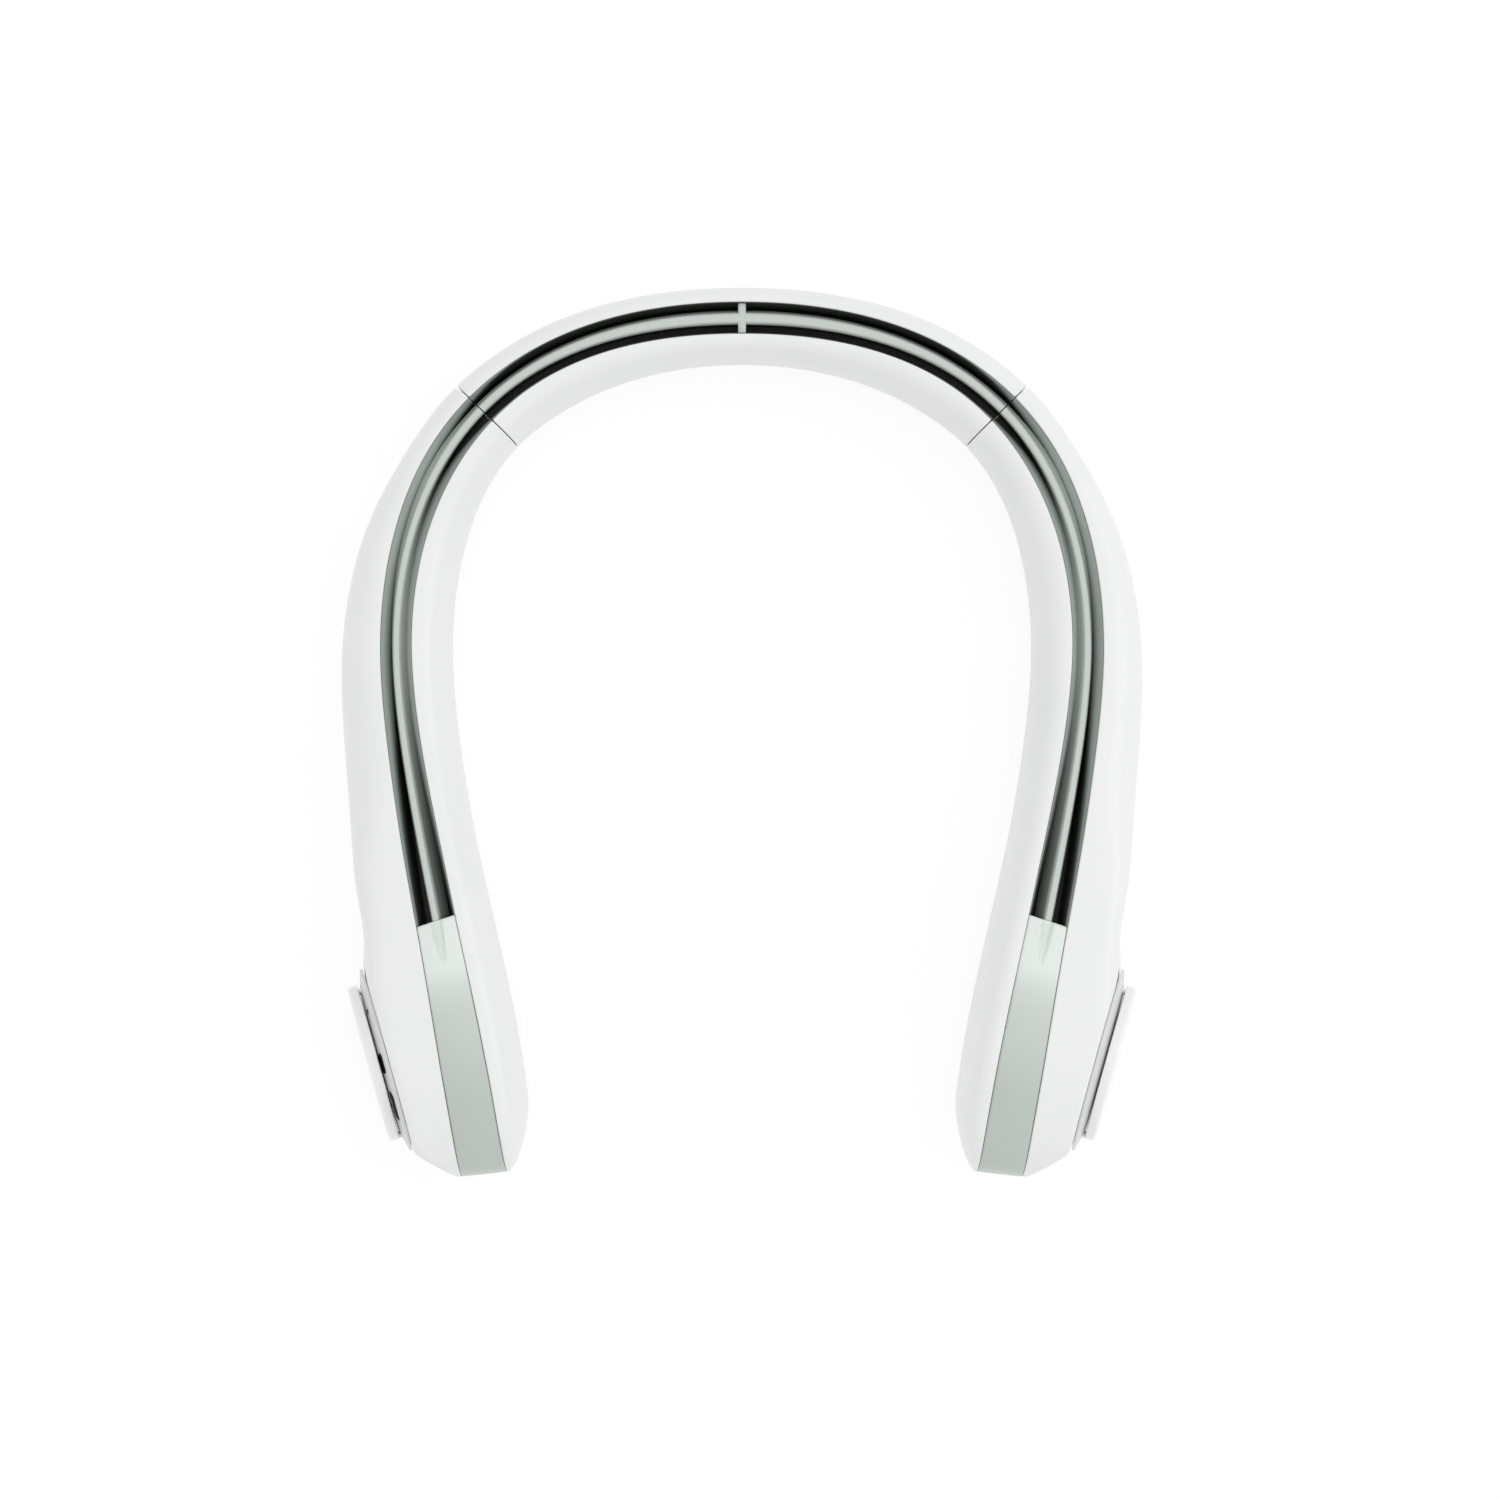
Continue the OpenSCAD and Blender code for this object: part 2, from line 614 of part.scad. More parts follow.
rim_sink = 0.5;
duct_play = 0.12;
duct_step_end = panel_run - panel_gap;
function rim_drop(s) = abs(s) > duct_step_end ? panel_thickness + snug : rim_sink;
function duct_ring(s) = let (
    w = slot_at(s) - duct_play,
    t = top_at(s) - rim_drop(s),
    b = top_at(s) - duct_depth,
    lean = through(lean_rows, abs(s)),
    v = w - duct_wall,
    m = t - lean_depth,
    c = b + duct_wall)
    [[[w, t], [w - lean, m], [w - lean, b], [0, b], [lean - w, b], [lean - w, m], [-w, t]],
    [[v, t], [v - lean, m], [v - lean, c], [0, c], [lean - v, c], [lean - v, m], [-v, t]]];
module duct(runs) {
    skinned(
        [for (s = runs) [for (q = duct_ring(s)[0]) place(s, q[0], q[1])]],
        [for (s = runs) [for (q = duct_ring(s)[1]) place(s, q[0], q[1])]],
        false);
}

outlet_length = 4.1;
outlet_reach = impeller_radius + outlet_length;
outlet_gap = 2.2;
duct_end = max(pod_run - outlet_reach - outlet_gap, duct_step_end + 2 * snug);
duct_steps = 15;
arm_duct_runs = concat(
    [for (i = [0 : duct_steps]) arm_start + (duct_step_end - arm_start) * i / duct_steps],
    [duct_step_end + snug, duct_end]);
neck_duct_runs = [for (i = [-neck_steps : neck_steps]) neck_end * i / neck_steps];

// Guide fin: a rounded ridge on a web that stands on the duct's floor

fin_flank = 3;
fin_web = 1.2;
fin_round = 0.5;
function crest_at(s) = fin_crest * (1 - fin_taper_share * eased(abs(s) / line_length / taper_run_share));
crest_shares = [-1, -0.85, -0.4, 0.4, 0.85, 1];
crest_drop_shares = [1, 0.35, 0.04, 0.04, 0.35, 1];
function fin_ring(s) = let (t = top_at(s) - fin_sink, b = top_at(s) - duct_depth + duct_wall + snug,
    half = crest_at(s) / 2)
    concat(
        [[-fin_web / 2, b]],
        [[-fin_web / 2, t - 2 * fin_flank]],
        [[-half - fin_flare, t - fin_flank]],
        [for (i = [0 : len(crest_shares) - 1])
            [half * crest_shares[i], t - 2 * fin_round * crest_drop_shares[i]]],
        [[half + fin_flare, t - fin_flank]],
        [[fin_web / 2, t - 2 * fin_flank]],
        [[fin_web / 2, b]]);
fin_steps = 16;
fin_end = panel_run - panel_gap;
arm_fin_runs = [for (i = [0 : fin_steps]) arm_start + (fin_end - arm_start) * i / fin_steps];
module fin(runs) {
    rings = [for (s = runs) fin_ring(s)];
    k = len(rings[0]);
    skinned(
        [for (i = [0 : len(runs) - 1]) let (r = rings[i])
            [for (j = [0 : k / 2 - 1]) place(runs[i], r[j][0], r[j][1])]],
        [for (i = [0 : len(runs) - 1]) let (r = rings[i])
            [for (j = [k - 1 : -1 : k / 2]) place(runs[i], r[j][0], r[j][1])]],
        false);
}

bar_width = 2;
module cross_bar() {
    w = slot_at(0) - duct_play - duct_wall - snug;
    at_run(0, 0, top_at(0) - fin_sink - 2 * fin_flank)
        translate([-w, -bar_width / 2, 0]) cube([2 * w, bar_width, 2 * fin_flank - fin_round]);
}

// Top panel: a plate that follows the pod's top down to the tip, with the fin's crest running out on it

panel_crown = 0.5;
lip_length = 1.2;
// The rounded lip at the panel's upper end: places along it and drops, as shares of its length
lip_shares = [0, 0.12, 0.4, 1];
lip_drop_shares = [0.7, 0.36, 0.1, 0];
panel_runs = concat(
    [for (k = lip_shares) panel_run + lip_length * k],
    [for (i = [1 : 3]) panel_run + lip_length + (pod_run - panel_run - lip_length) * i / 3],
    [for (i = [1 : tip_steps]) pod_run + (tip_run - pod_run) * sin(90 * i / tip_steps)]);
function lip_drop(i) = i < len(lip_drop_shares) ? lip_length * lip_drop_shares[i] : 0;
panel_across_shares = [-1, -0.92, -0.5, 0, 0.5, 0.92, 1];
panel_rise_shares = [-0.6, 0, 0.6, 1, 0.6, 0, -0.6];
function panel_ring(s, drop) = let (w = slot_at(s) - panel_gap, t = top_at(s))
    concat(
        [for (i = [0 : len(panel_across_shares) - 1])
            [w * panel_across_shares[i], t + panel_crown * panel_rise_shares[i] - drop]],
        [[w, t - panel_thickness], [-w, t - panel_thickness]]);
module panel() {
    lofted([for (i = [0 : len(panel_runs) - 1]) let (s = panel_runs[i])
        [for (q = panel_ring(s, lip_drop(i))) place(s, q[0], q[1])]]);
}

// The groove starts at the fin's crest and rises to the panel's surface, narrowing on the way
groove_steps = 6;
groove_end_share = 0.35;
function groove_floor(s, f) = top_at(s) - fin_sink + (fin_sink + panel_crown) * f * f;
module panel_groove() {
    lofted([for (i = [-1 : groove_steps]) let (
        f = max(0, i / groove_steps),
        s = i < 0 ? panel_run - over : panel_run + groove_length * f,
        half = crest_at(panel_run) / 2 * (1 - (1 - groove_end_share) * f * f),
        low = groove_floor(s, f),
        high = top_at(s) + panel_crown + over)
        [for (q = [[-half, low], [-half - over, high], [half + over, high], [half, low]])
            place(s, q[0], q[1])]]);
}

// Wires: a tube along the line, low in the body

lead_radius = 1.1;
lead_sides = 8;
lead_height = wall + snug + lead_radius;
lead_offset = -(tab_foot + 2 * lead_radius);
function tube_ring(s, u, z) = [for (i = [0 : lead_sides - 1]) let (a = 360 * i / lead_sides)
    place(s, u + lead_radius * cos(a), z + lead_radius * sin(a))];
module tube(runs, u, z) {
    lofted([for (s = runs) tube_ring(s, u, z)], true);
}

// Intake ring

ring_step = 0.3;
ring_wall = 1.1;
socket_play = 0.1;
ring_lip = 0.4;
function slope_at(r) = ring_step + (ring_radius - r) / ring_band * (ring_rise - ring_step);
flare_steps = 6;

// The funnel from its throat inside to the mouth, as a quarter of an ellipse
function flare(f, out) = let (a = 90 * f, rise = out > 0 ? -ring_wall : ring_rise)
    [throat_radius + out + (mouth_radius - ring_lip - throat_radius) * (1 - cos(a)),
        (rise + ring_depth) * sin(a) - ring_depth];

module ring_body() {
    plug = socket_radius - socket_play;
    rotate_extrude($fn = 96) polygon(concat(
        [[ring_radius, snug], [ring_radius, ring_step], [mouth_radius, ring_rise]],
        [for (i = [flare_steps : -1 : 0]) flare(i / flare_steps, 0)],
        [for (i = [0 : flare_steps]) flare(i / flare_steps, ring_wall)],
        [[plug - ring_wall, -ring_wall], [plug - ring_wall, -ring_depth]],
        [[plug, -ring_depth], [plug, snug]]));
}

post_inset = 1.4;
post_reach = mouth_radius + post_inset;
// Turns of the posts round the ring from its top
post_turns = [75, 180, -80];
post_seat = 3;
post_low = slope_at(mouth_radius) - post_seat;
module posts(extra, low) {
    for (turn = post_turns) round_ring(turn) translate([post_reach, 0, low])
        cylinder(r = post_radius + extra, h = cover_standoff + over - low);
}
module post_sockets() {
    intersection() {
        for (turn = post_turns) round_ring(turn) translate([post_reach, 0, post_low - ring_wall])
            cylinder(r = post_radius + ring_wall, h = post_seat + ring_wall);
        translate([0, 0, -ring_depth]) cylinder(r = plug_inside, h = 2 * ring_depth);
    }
}
plug_inside = socket_radius - socket_play - ring_wall / 2;

// Controls stand in the ring's slope, and the circuit board closes the ring's back

port_length = 8.34;
port_width = 2.56;
port_shell = 0.3;
port_depth = 6.2;
tongue_length = 6.7;
tongue_thickness = 0.7;
tongue_reach = 3.5;
control_gap = 0.1;
board_thickness = 1;
board_turns = [-52, 58];
board_outer = socket_radius - socket_play - ring_wall - socket_play;
board_inner = throat_radius + ring_wall + 3 * socket_play;
switch_side = 3.4;
switch_height = 1.6;
board_top = -ring_depth + board_thickness;

module stadium(length, width, h) {
    linear_extrude(height = h) {
        square([width, length - width], center = true);
        for (k = [-1, 1]) translate([0, k * (length - width) / 2]) circle(d = width);
    }
}

// Stands pieces at a place round the ring, on the ring's axis direction
module control_at(turn) {
    round_ring(turn) translate([control_radius, 0, 0]) children();
}

module control_cuts() {
    gap = 2 * control_gap;
    control_at(port_turn) translate([0, 0, -ring_depth])
        stadium(port_length + 2 * port_shell + gap, port_width + 2 * port_shell + gap, 2 * ring_depth);
    control_at(button_turn) translate([0, 0, -ring_depth])
        stadium(button_length + gap, button_width + gap, 2 * ring_depth);
    control_at(lens_turn) translate([0, 0, -ring_depth])
        cylinder(r = lens_radius + control_gap / 2, h = 2 * ring_depth);
}

module intake_ring(left) {
    on_side(left) on_face() difference() {
        union() {
            ring_body();
            post_sockets();
        }
        posts(snug, post_low);
        translate([0, 0, -2 * ring_depth]) cylinder(r = throat_radius, h = 2 * ring_depth);
        if (left) control_cuts();
    }
}

// Keeps what stands out of the ring's slope flush with it
module under_slope(sink) {
    intersection() {
        children();
        rotate_extrude($fn = 96) polygon([[0, -2 * ring_depth], [ring_radius, -2 * ring_depth],
            [ring_radius, slope_at(ring_radius) - sink], [mouth_radius, slope_at(mouth_radius) - sink],
            [0, slope_at(mouth_radius) - sink]]);
    }
}

module charge_port() {
    on_side(true) on_face() difference() {
        under_slope(control_gap) control_at(port_turn) translate([0, 0, board_top + snug])
            stadium(port_length + 2 * port_shell, port_width + 2 * port_shell, ring_depth + ring_rise);
        control_at(port_turn) difference() {
            translate([0, 0, ring_rise - port_depth]) stadium(port_length, port_width, 2 * port_depth);
            translate([-tongue_thickness / 2, -tongue_length / 2, ring_rise - port_depth - over])
                cube([tongue_thickness, tongue_length, tongue_reach + over]);
        }
    }
}

module power_button() {
    on_side(true) on_face() under_slope(control_gap) control_at(button_turn) {
        translate([0, 0, -ring_wall - button_travel]) stadium(button_length, button_width, ring_depth);
        translate([0, 0, board_top + switch_height + control_gap + button_travel])
            cylinder(r = button_width / 3, h = ring_depth / 2);
    }
}

module status_lens() {
    on_side(true) on_face() under_slope(control_gap / 2) control_at(lens_turn)
        translate([0, 0, board_top + control_gap]) cylinder(r = lens_radius, h = ring_depth + ring_rise);
}

module control_board() {
    on_side(true) on_face() union() {
        translate([0, 0, -ring_depth]) rotate([0, 0, 180 - board_turns[1]])
            rotate_extrude(angle = board_turns[1] - board_turns[0], $fn = 96)
                translate([board_inner, 0]) square([board_outer - board_inner, board_thickness]);
        round_ring(button_turn)
            translate([board_outer - snug - switch_side, -switch_side / 2, board_top - snug])
                cube([switch_side, switch_side, switch_height]);
    }
}

// Cover

edge_shares = [0, 0.38, 0.71, 0.92, 1];
dome_reach_shares = [0.75, 0.5, 0.25];
dome_rise_shares = [0.44, 0.75, 0.94];
module cover_disc() {
    edge = cover_rim / 2;
    flat = cover_radius - edge;
    crown = cover_standoff + cover_rim;
    rotate_extrude($fn = 96) polygon(concat(
        [[0, cover_standoff]],
        [for (e = edge_shares) [flat + edge * e, cover_standoff + edge - edge * sqrt(1 - e * e)]],
        [for (i = [len(edge_shares) - 2 : -1 : 0]) let (e = edge_shares[i])
            [flat + edge * e, crown - edge + edge * sqrt(1 - e * e)]],
        [for (i = [0 : len(dome_reach_shares) - 1])
            [flat * dome_reach_shares[i], crown + cover_dome * dome_rise_shares[i]]],
        [[0, crown + cover_dome]]));
}
module fan_cover(left) {
    on_side(left) on_face() union() {
        cover_disc();
        posts(0, post_low + snug);
    }
}

// Blower: on the face the top is -X here and the arm lies towards +Y

volute_play = 0.6;
volute_wall = 1.1;
volute_growth = 2.6;
volute_depth = impeller_depth + 2 * volute_play + 2 * volute_wall;
volute_low = -ring_depth - volute_play - volute_depth;
volute_start = impeller_radius + volute_play;
spiral_steps = 36;
impeller_low = volute_low + volute_wall + volute_play;
hub_wall = 1;
hub_share = 0.75;
hub_height = impeller_depth * hub_share;
motor_tube = 1.4;
motor_play = 0.5;
shaft_play = 0.05;
stator_share = 0.5;
tube_share = 0.62;

// The snail's outline: it widens from its tongue and leaves towards the arm along the top
outlet_share = 0.5;
module snail(extra, past) {
    tongue = volute_start * (1 - outlet_share) - extra;
    turn = acos(tongue / (volute_start + extra));
    mouth = outlet_reach + past;
    polygon(concat(
        [for (i = [0 : spiral_steps]) let (
            a = turn + (360 - turn) * i / spiral_steps,
            r = volute_start + extra + volute_growth * a / 360)
            [-r * cos(a), r * sin(a)]],
        [[-volute_start - extra - volute_growth, mouth], [-tongue, mouth]]));
}

module volute(left) {
    on_side(left) on_face() translate([0, 0, volute_low]) difference() {
        linear_extrude(height = volute_depth) snail(volute_wall, 0);
        translate([0, 0, volute_wall])
            linear_extrude(height = volute_depth - 2 * volute_wall) snail(0, over);
        translate([0, 0, volute_depth / 2]) cylinder(r = throat_radius, h = volute_depth);
        translate([0, 0, -over]) cylinder(r = tube_radius + snug, h = volute_wall + 2 * over);
    }
}
tube_radius = shaft_radius + shaft_play + motor_tube;

blade_root_share = 0.685;
blade_root = impeller_radius * blade_root_share;
blade_thickness = 0.8;
blade_lean = 32;
blade_bends = 4;
rim_width = 1.8;
blade_inset = 0.1;
function blade_point(f, k) = let (
    r = blade_root + (impeller_radius - blade_inset - blade_root) * f,
    a = blade_lean * f * f,
    half = k * blade_thickness / 2)
    [r * cos(a) - half * sin(a + blade_lean * f), r * sin(a) + half * cos(a + blade_lean * f)];
blade_line = concat(
    [for (i = [0 : blade_bends]) blade_point(i / blade_bends, -1)],
    [for (i = [blade_bends : -1 : 0]) blade_point(i / blade_bends, 1)]);

module impeller(left) {
    on_side(left) on_face() translate([0, 0, impeller_low]) difference() {
        union() {
            cylinder(r = impeller_radius, h = hub_wall);
            cylinder(r = hub_radius, h = hub_height);
            for (i = [0 : blade_count - 1]) rotate([0, 0, 360 * i / blade_count])
                translate([0, 0, hub_wall / 2])
                    linear_extrude(height = impeller_depth - hub_wall) polygon(blade_line);
            translate([0, 0, impeller_depth - hub_wall]) difference() {
                cylinder(r = impeller_radius, h = hub_wall);
                translate([0, 0, -over]) cylinder(r = impeller_radius - rim_width, h = hub_wall + 2 * over);
            }
        }
        translate([0, 0, -over]) cylinder(r = hub_radius - hub_wall, h = hub_height - hub_wall + over);
        cylinder(r = shaft_radius + snug / 5, h = impeller_depth);
    }
}

module impeller_shaft(left) {
    on_side(left) on_face() translate([0, 0, impeller_low - volute_play])
        cylinder(r = shaft_radius, h = volute_play + hub_height);
}

module motor(left) {
    on_side(left) on_face() translate([0, 0, impeller_low - volute_play - volute_wall]) difference() {
        union() {
            translate([0, 0, -volute_wall]) cylinder(r = hub_radius, h = volute_wall - snug);
            translate([0, 0, -over]) cylinder(r = tube_radius, h = hub_height * tube_share + over);
            translate([0, 0, volute_wall + snug])
                cylinder(r = hub_radius - hub_wall - motor_play, h = hub_height * stator_share);
        }
        translate([0, 0, volute_wall - shaft_play]) cylinder(r = shaft_radius + shaft_play, h = hub_height);
    }
}

battery_round = 1.5;
battery_gap = 0.3;
module battery(left) {
    low = volute_low - volute_wall - snug - battery_gap - battery_thickness;
    corner_x = battery_height / 2 - battery_round;
    corner_y = battery_length / 2 - battery_round;
    on_side(left) on_face() translate([0, 0, low])
        linear_extrude(height = battery_thickness) {
            square([battery_height, battery_length - 2 * battery_round], center = true);
            square([battery_height - 2 * battery_round, battery_length], center = true);
            for (x = [-1, 1]) for (y = [-1, 1])
                translate([x * corner_x, y * corner_y])
                    circle(r = battery_round);
        }
}

// Shells with their cuts

module outer_shell(left) {
    on_side(left) difference() {
        union() {
            arm_half(1);
            stakes(-1);
        }
        on_face() translate([-pod_height, -pod_height, 0])
            cube([2 * pod_height, 2 * pod_height, pod_height]);
        on_face() translate([0, 0, -ring_depth]) cylinder(r = socket_radius, h = 2 * ring_depth);
        for (s = arm_screw_runs) screw_hole_at(s);
    }
}

module inner_shell(left) {
    on_side(left) difference() {
        union() {
            arm_half(-1);
            for (s = arm_screw_runs) screw_tab_at(s);
        }
        for (s = arm_screw_runs) screw_pilot_at(s);
    }
}

module neck_outer_shell() {
    difference() {
        union() {
            neck_half(1);
            for (left = [false, true]) on_side(left) stakes(1);
        }
        for (s = [-neck_screw_run, neck_screw_run]) screw_hole_at(s);
    }
}

module neck_inner_shell() {
    difference() {
        union() {
            neck_half(-1);
            for (s = [-neck_screw_run, neck_screw_run]) screw_tab_at(s);
        }
        for (s = [-neck_screw_run, neck_screw_run]) screw_pilot_at(s);
    }
}

module screws(left) {
    on_side(left) for (s = arm_screw_runs) screw_at(s);
}

module neck_screws() {
    for (s = [-neck_screw_run, neck_screw_run]) screw_at(s);
}

module neck_guide_fin() {
    fin([for (i = [-neck_steps : neck_steps]) neck_end * i / neck_steps]);
    cross_bar();
}

module top_panel(left) {
    on_side(left) difference() {
        panel();
        panel_groove();
    }
}

lead_past_hinge = 8;
lead_gap = 0.3;
lead_steps = 14;
hinge_lead_steps = 4;
lead_from = hinge_run + lead_past_hinge;
lead_to = panel_run;
neck_lead_end = hinge_run - lead_past_hinge;
module lead(left) {
    on_side(left) tube([for (i = [0 : lead_steps]) lead_from + (lead_to - lead_from) * i / lead_steps],
        lead_offset, lead_height);
}
module neck_lead() {
    tube([for (i = [-neck_steps : neck_steps]) neck_lead_end * i / neck_steps], lead_offset, lead_height);
}
module hinge_lead(left) {
    from = neck_lead_end + lead_gap;
    past = 2 * (lead_past_hinge - lead_gap);
    on_side(left)
        tube([for (i = [0 : hinge_lead_steps]) from + past * i / hinge_lead_steps],
            lead_offset, lead_height);
}

shell_white = [0.94, 0.94, 0.93];
sage = [0.72, 0.76, 0.72];
steel = [0.7, 0.71, 0.73];
dark = [0.12, 0.12, 0.13];
green = [0.1, 0.35, 0.2];

color(shell_white) neck_outer_shell();
color(shell_white) neck_inner_shell();
color(sage) duct(neck_duct_runs);  // neck_air_duct
color(sage) neck_guide_fin();
color(dark) neck_lead();
color(steel) neck_screws();
color(steel) on_side(false) leaf_neck();  // right_hinge_leaf_neck
color(steel) on_side(false) hinge_pin();  // right_hinge_pin
color(steel) on_side(true) leaf_neck();  // left_hinge_leaf_neck
color(steel) on_side(true) hinge_pin();  // left_hinge_pin
color(shell_white) outer_shell(false);  // right_outer_shell
color(shell_white) inner_shell(false);  // right_inner_shell
color(sage) top_panel(false);  // right_top_panel
color(sage) on_side(false) duct(arm_duct_runs);  // right_air_duct
color(sage) on_side(false) fin(arm_fin_runs);  // right_guide_fin
color(steel) on_side(false) leaf_arm();  // right_hinge_leaf_arm
color(dark) on_side(false) hinge_sleeve();  // right_hinge_sleeve
color(shell_white) intake_ring(false);  // right_intake_ring
color(shell_white) fan_cover(false);  // right_fan_cover
color(dark) volute(false);  // right_volute
color(sage) impeller(false);  // right_impeller
color(steel) impeller_shaft(false);  // right_impeller_shaft
color(steel) motor(false);  // right_motor
color(dark) battery(false);  // right_battery
color(steel) screws(false);  // right_screws
color(dark) lead(false);  // right_lead
color(dark) hinge_lead(false);  // right_hinge_lead
color(shell_white) outer_shell(true);  // left_outer_shell
color(shell_white) inner_shell(true);  // left_inner_shell
color(sage) top_panel(true);  // left_top_panel
color(sage) on_side(true) duct(arm_duct_runs);  // left_air_duct
color(sage) on_side(true) fin(arm_fin_runs);  // left_guide_fin
color(steel) on_side(true) leaf_arm();  // left_hinge_leaf_arm
color(dark) on_side(true) hinge_sleeve();  // left_hinge_sleeve
color(shell_white) intake_ring(true);  // left_intake_ring
color(shell_white) fan_cover(true);  // left_fan_cover
color(dark) volute(true);  // left_volute
color(sage) impeller(true);  // left_impeller
color(steel) impeller_shaft(true);  // left_impeller_shaft
color(steel) motor(true);  // left_motor
color(dark) battery(true);  // left_battery
color(steel) screws(true);  // left_screws
color(dark) lead(true);  // left_lead
color(dark) hinge_lead(true);  // left_hinge_lead
color(green) control_board();  // left_control_board
color(steel) charge_port();  // left_charge_port
color(dark) power_button();  // left_power_button
color(shell_white) status_lens();  // left_status_lens
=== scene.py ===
import bisect
import math
import bmesh
import bpy
from mathutils import Matrix, Vector


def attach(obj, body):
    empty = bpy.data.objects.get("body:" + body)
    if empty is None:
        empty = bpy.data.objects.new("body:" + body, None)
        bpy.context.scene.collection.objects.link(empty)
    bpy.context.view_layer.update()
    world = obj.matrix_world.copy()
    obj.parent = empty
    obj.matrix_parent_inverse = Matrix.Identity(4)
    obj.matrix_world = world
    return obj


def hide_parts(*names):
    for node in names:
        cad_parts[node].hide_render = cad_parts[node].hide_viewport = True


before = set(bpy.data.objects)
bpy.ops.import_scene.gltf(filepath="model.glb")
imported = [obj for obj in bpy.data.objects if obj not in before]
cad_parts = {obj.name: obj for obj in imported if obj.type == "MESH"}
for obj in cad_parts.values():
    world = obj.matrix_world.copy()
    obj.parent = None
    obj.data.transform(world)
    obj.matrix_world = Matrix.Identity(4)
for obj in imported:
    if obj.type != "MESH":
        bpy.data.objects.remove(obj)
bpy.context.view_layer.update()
print("frame loaded")

scaleMm = 0.001  # every size below is in millimetres

# The slot's centre line, as the part's source has it: two cubic curves from the back of the neck to the tip
line = {
    "halfSpan": 88.3, "backY": 105.7, "wideY": 22.4, "endY": 111.9, "endX": 66, "endLean": 6.4,
    "backPull": 71.5, "sidePullUp": 36.2, "sidePullDown": 34, "endPull": 45.8, "tipReach": 2, "samples": 60,
}
# The band round that line: reaches and heights, with rows of shares of them at the places along it
body = {
    "outerReach": 20.5, "shoulder": (3.2, 0.74, 0.84), "innerReach": 12.9, "height": 51.2, "slotHalf": 5.85,
    "wall": 1.8, "baseHalf": 6.5, "baseShare": 0.6, "tipHalf": 6.4, "tipHalfHeight": 6, "seamGap": 0.12,
    "hingeRun": 73, "pinOffset": 6.1, "jointGap": 0.3, "opening": 8, "panelLength": 68,
    "faceX": 91.5, "faceY": 85.1, "faceTurn": 15.5, "faceTilt": 7, "leanFrom": 0.7, "leanFull": 0.8,
    "places": (0, 0.2, 0.27, 0.34, 0.42, 0.5, 0.6, 0.7, 0.78, 0.885, 0.95),
    "outer": (0.439, 0.454, 0.483, 0.511, 0.644, 0.737, 0.824, 0.927, 1, 1, 0.893),
    "inner": (0.787, 0.912, 0.899, 0.938, 0.989, 1, 0.967, 0.935, 0.958, 0.988, 0.969),
    "slot": (0.697, 0.68, 0.718, 0.728, 0.691, 0.681, 0.73, 0.832, 0.887, 0.981, 1),
    "heights": (0.61, 0.63, 0.64, 0.66, 0.69, 0.73, 0.785, 0.865, 0.93, 1, 1),
    "bandPower": 2.4, "podOuterPower": 10, "podInnerPower": 3, "squareFrom": 0.62, "squareTo": 0.86,
    "outerClose": (0.9675, 1.05), "innerClose": (0.947, 1.35), "tipPower": 2.4,
}


def mixed(a, b, t):
    return a + (b - a) * t


def cubicPoint(p, t):
    k = ((1 - t) ** 3, 3 * t * (1 - t) ** 2, 3 * t * t * (1 - t), t ** 3)
    return Vector((sum(a * q[0] for a, q in zip(k, p)), sum(a * q[1] for a, q in zip(k, p))))


def cubicWay(p, t):
    k = ((1 - t) ** 2, 2 * t * (1 - t), t * t)
    steps = [(p[i + 1][0] - p[i][0], p[i + 1][1] - p[i][1]) for i in range(3)]
    way = Vector((sum(a * q[0] for a, q in zip(k, steps)), sum(a * q[1] for a, q in zip(k, steps))))
    return way.normalized()


lean = math.radians(line["endLean"])
widest = (line["halfSpan"], line["wideY"])
curves = (
    ((0, line["backY"]), (line["backPull"], line["backY"]),
     (line["halfSpan"], line["wideY"] + line["sidePullUp"]), widest),
    (widest, (line["halfSpan"], line["wideY"] - line["sidePullDown"]),
     (line["endX"] + line["endPull"] * math.sin(lean), line["endPull"] * math.cos(lean) - line["endY"]),
     (line["endX"], -line["endY"])),
)


def onLine(v):
    return cubicPoint(curves[0], v) if v < 1 else cubicPoint(curves[1], v - 1)


lineSteps = [i / line["samples"] for i in range(2 * line["samples"] + 1)]
lineRuns = [0.0]
for earlier, later in zip(lineSteps, lineSteps[1:]):
    lineRuns.append(lineRuns[-1] + (onLine(later) - onLine(earlier)).length)
lineLength = lineRuns[-1]
tipRun = lineLength + line["tipReach"]
body["panelRun"] = tipRun - body["panelLength"]


def stepAt(run):
    run = min(run, lineLength)
    i = min(max(bisect.bisect_right(lineRuns, run) - 1, 0), len(lineRuns) - 2)
    return mixed(lineSteps[i], lineSteps[i + 1], (run - lineRuns[i]) / (lineRuns[i + 1] - lineRuns[i]))


# spot, way and outward direction
def lineAt(s):
    run = abs(s)
    v = stepAt(run)
    w = cubicWay(curves[0], v) if v < 1 else cubicWay(curves[1], v - 1)
    p = onLine(v) + w * max(0, run - lineLength)
    if s < 0:
        p, w = Vector((-p.x, p.y)), Vector((w.x, -w.y))
    return p, w, Vector((-w.y, w.x))


def eased(t):
    t = max(0.0, min(1.0, t))
    return t * t * (3 - 2 * t)


placeRuns = [k * lineLength for k in body["places"]]


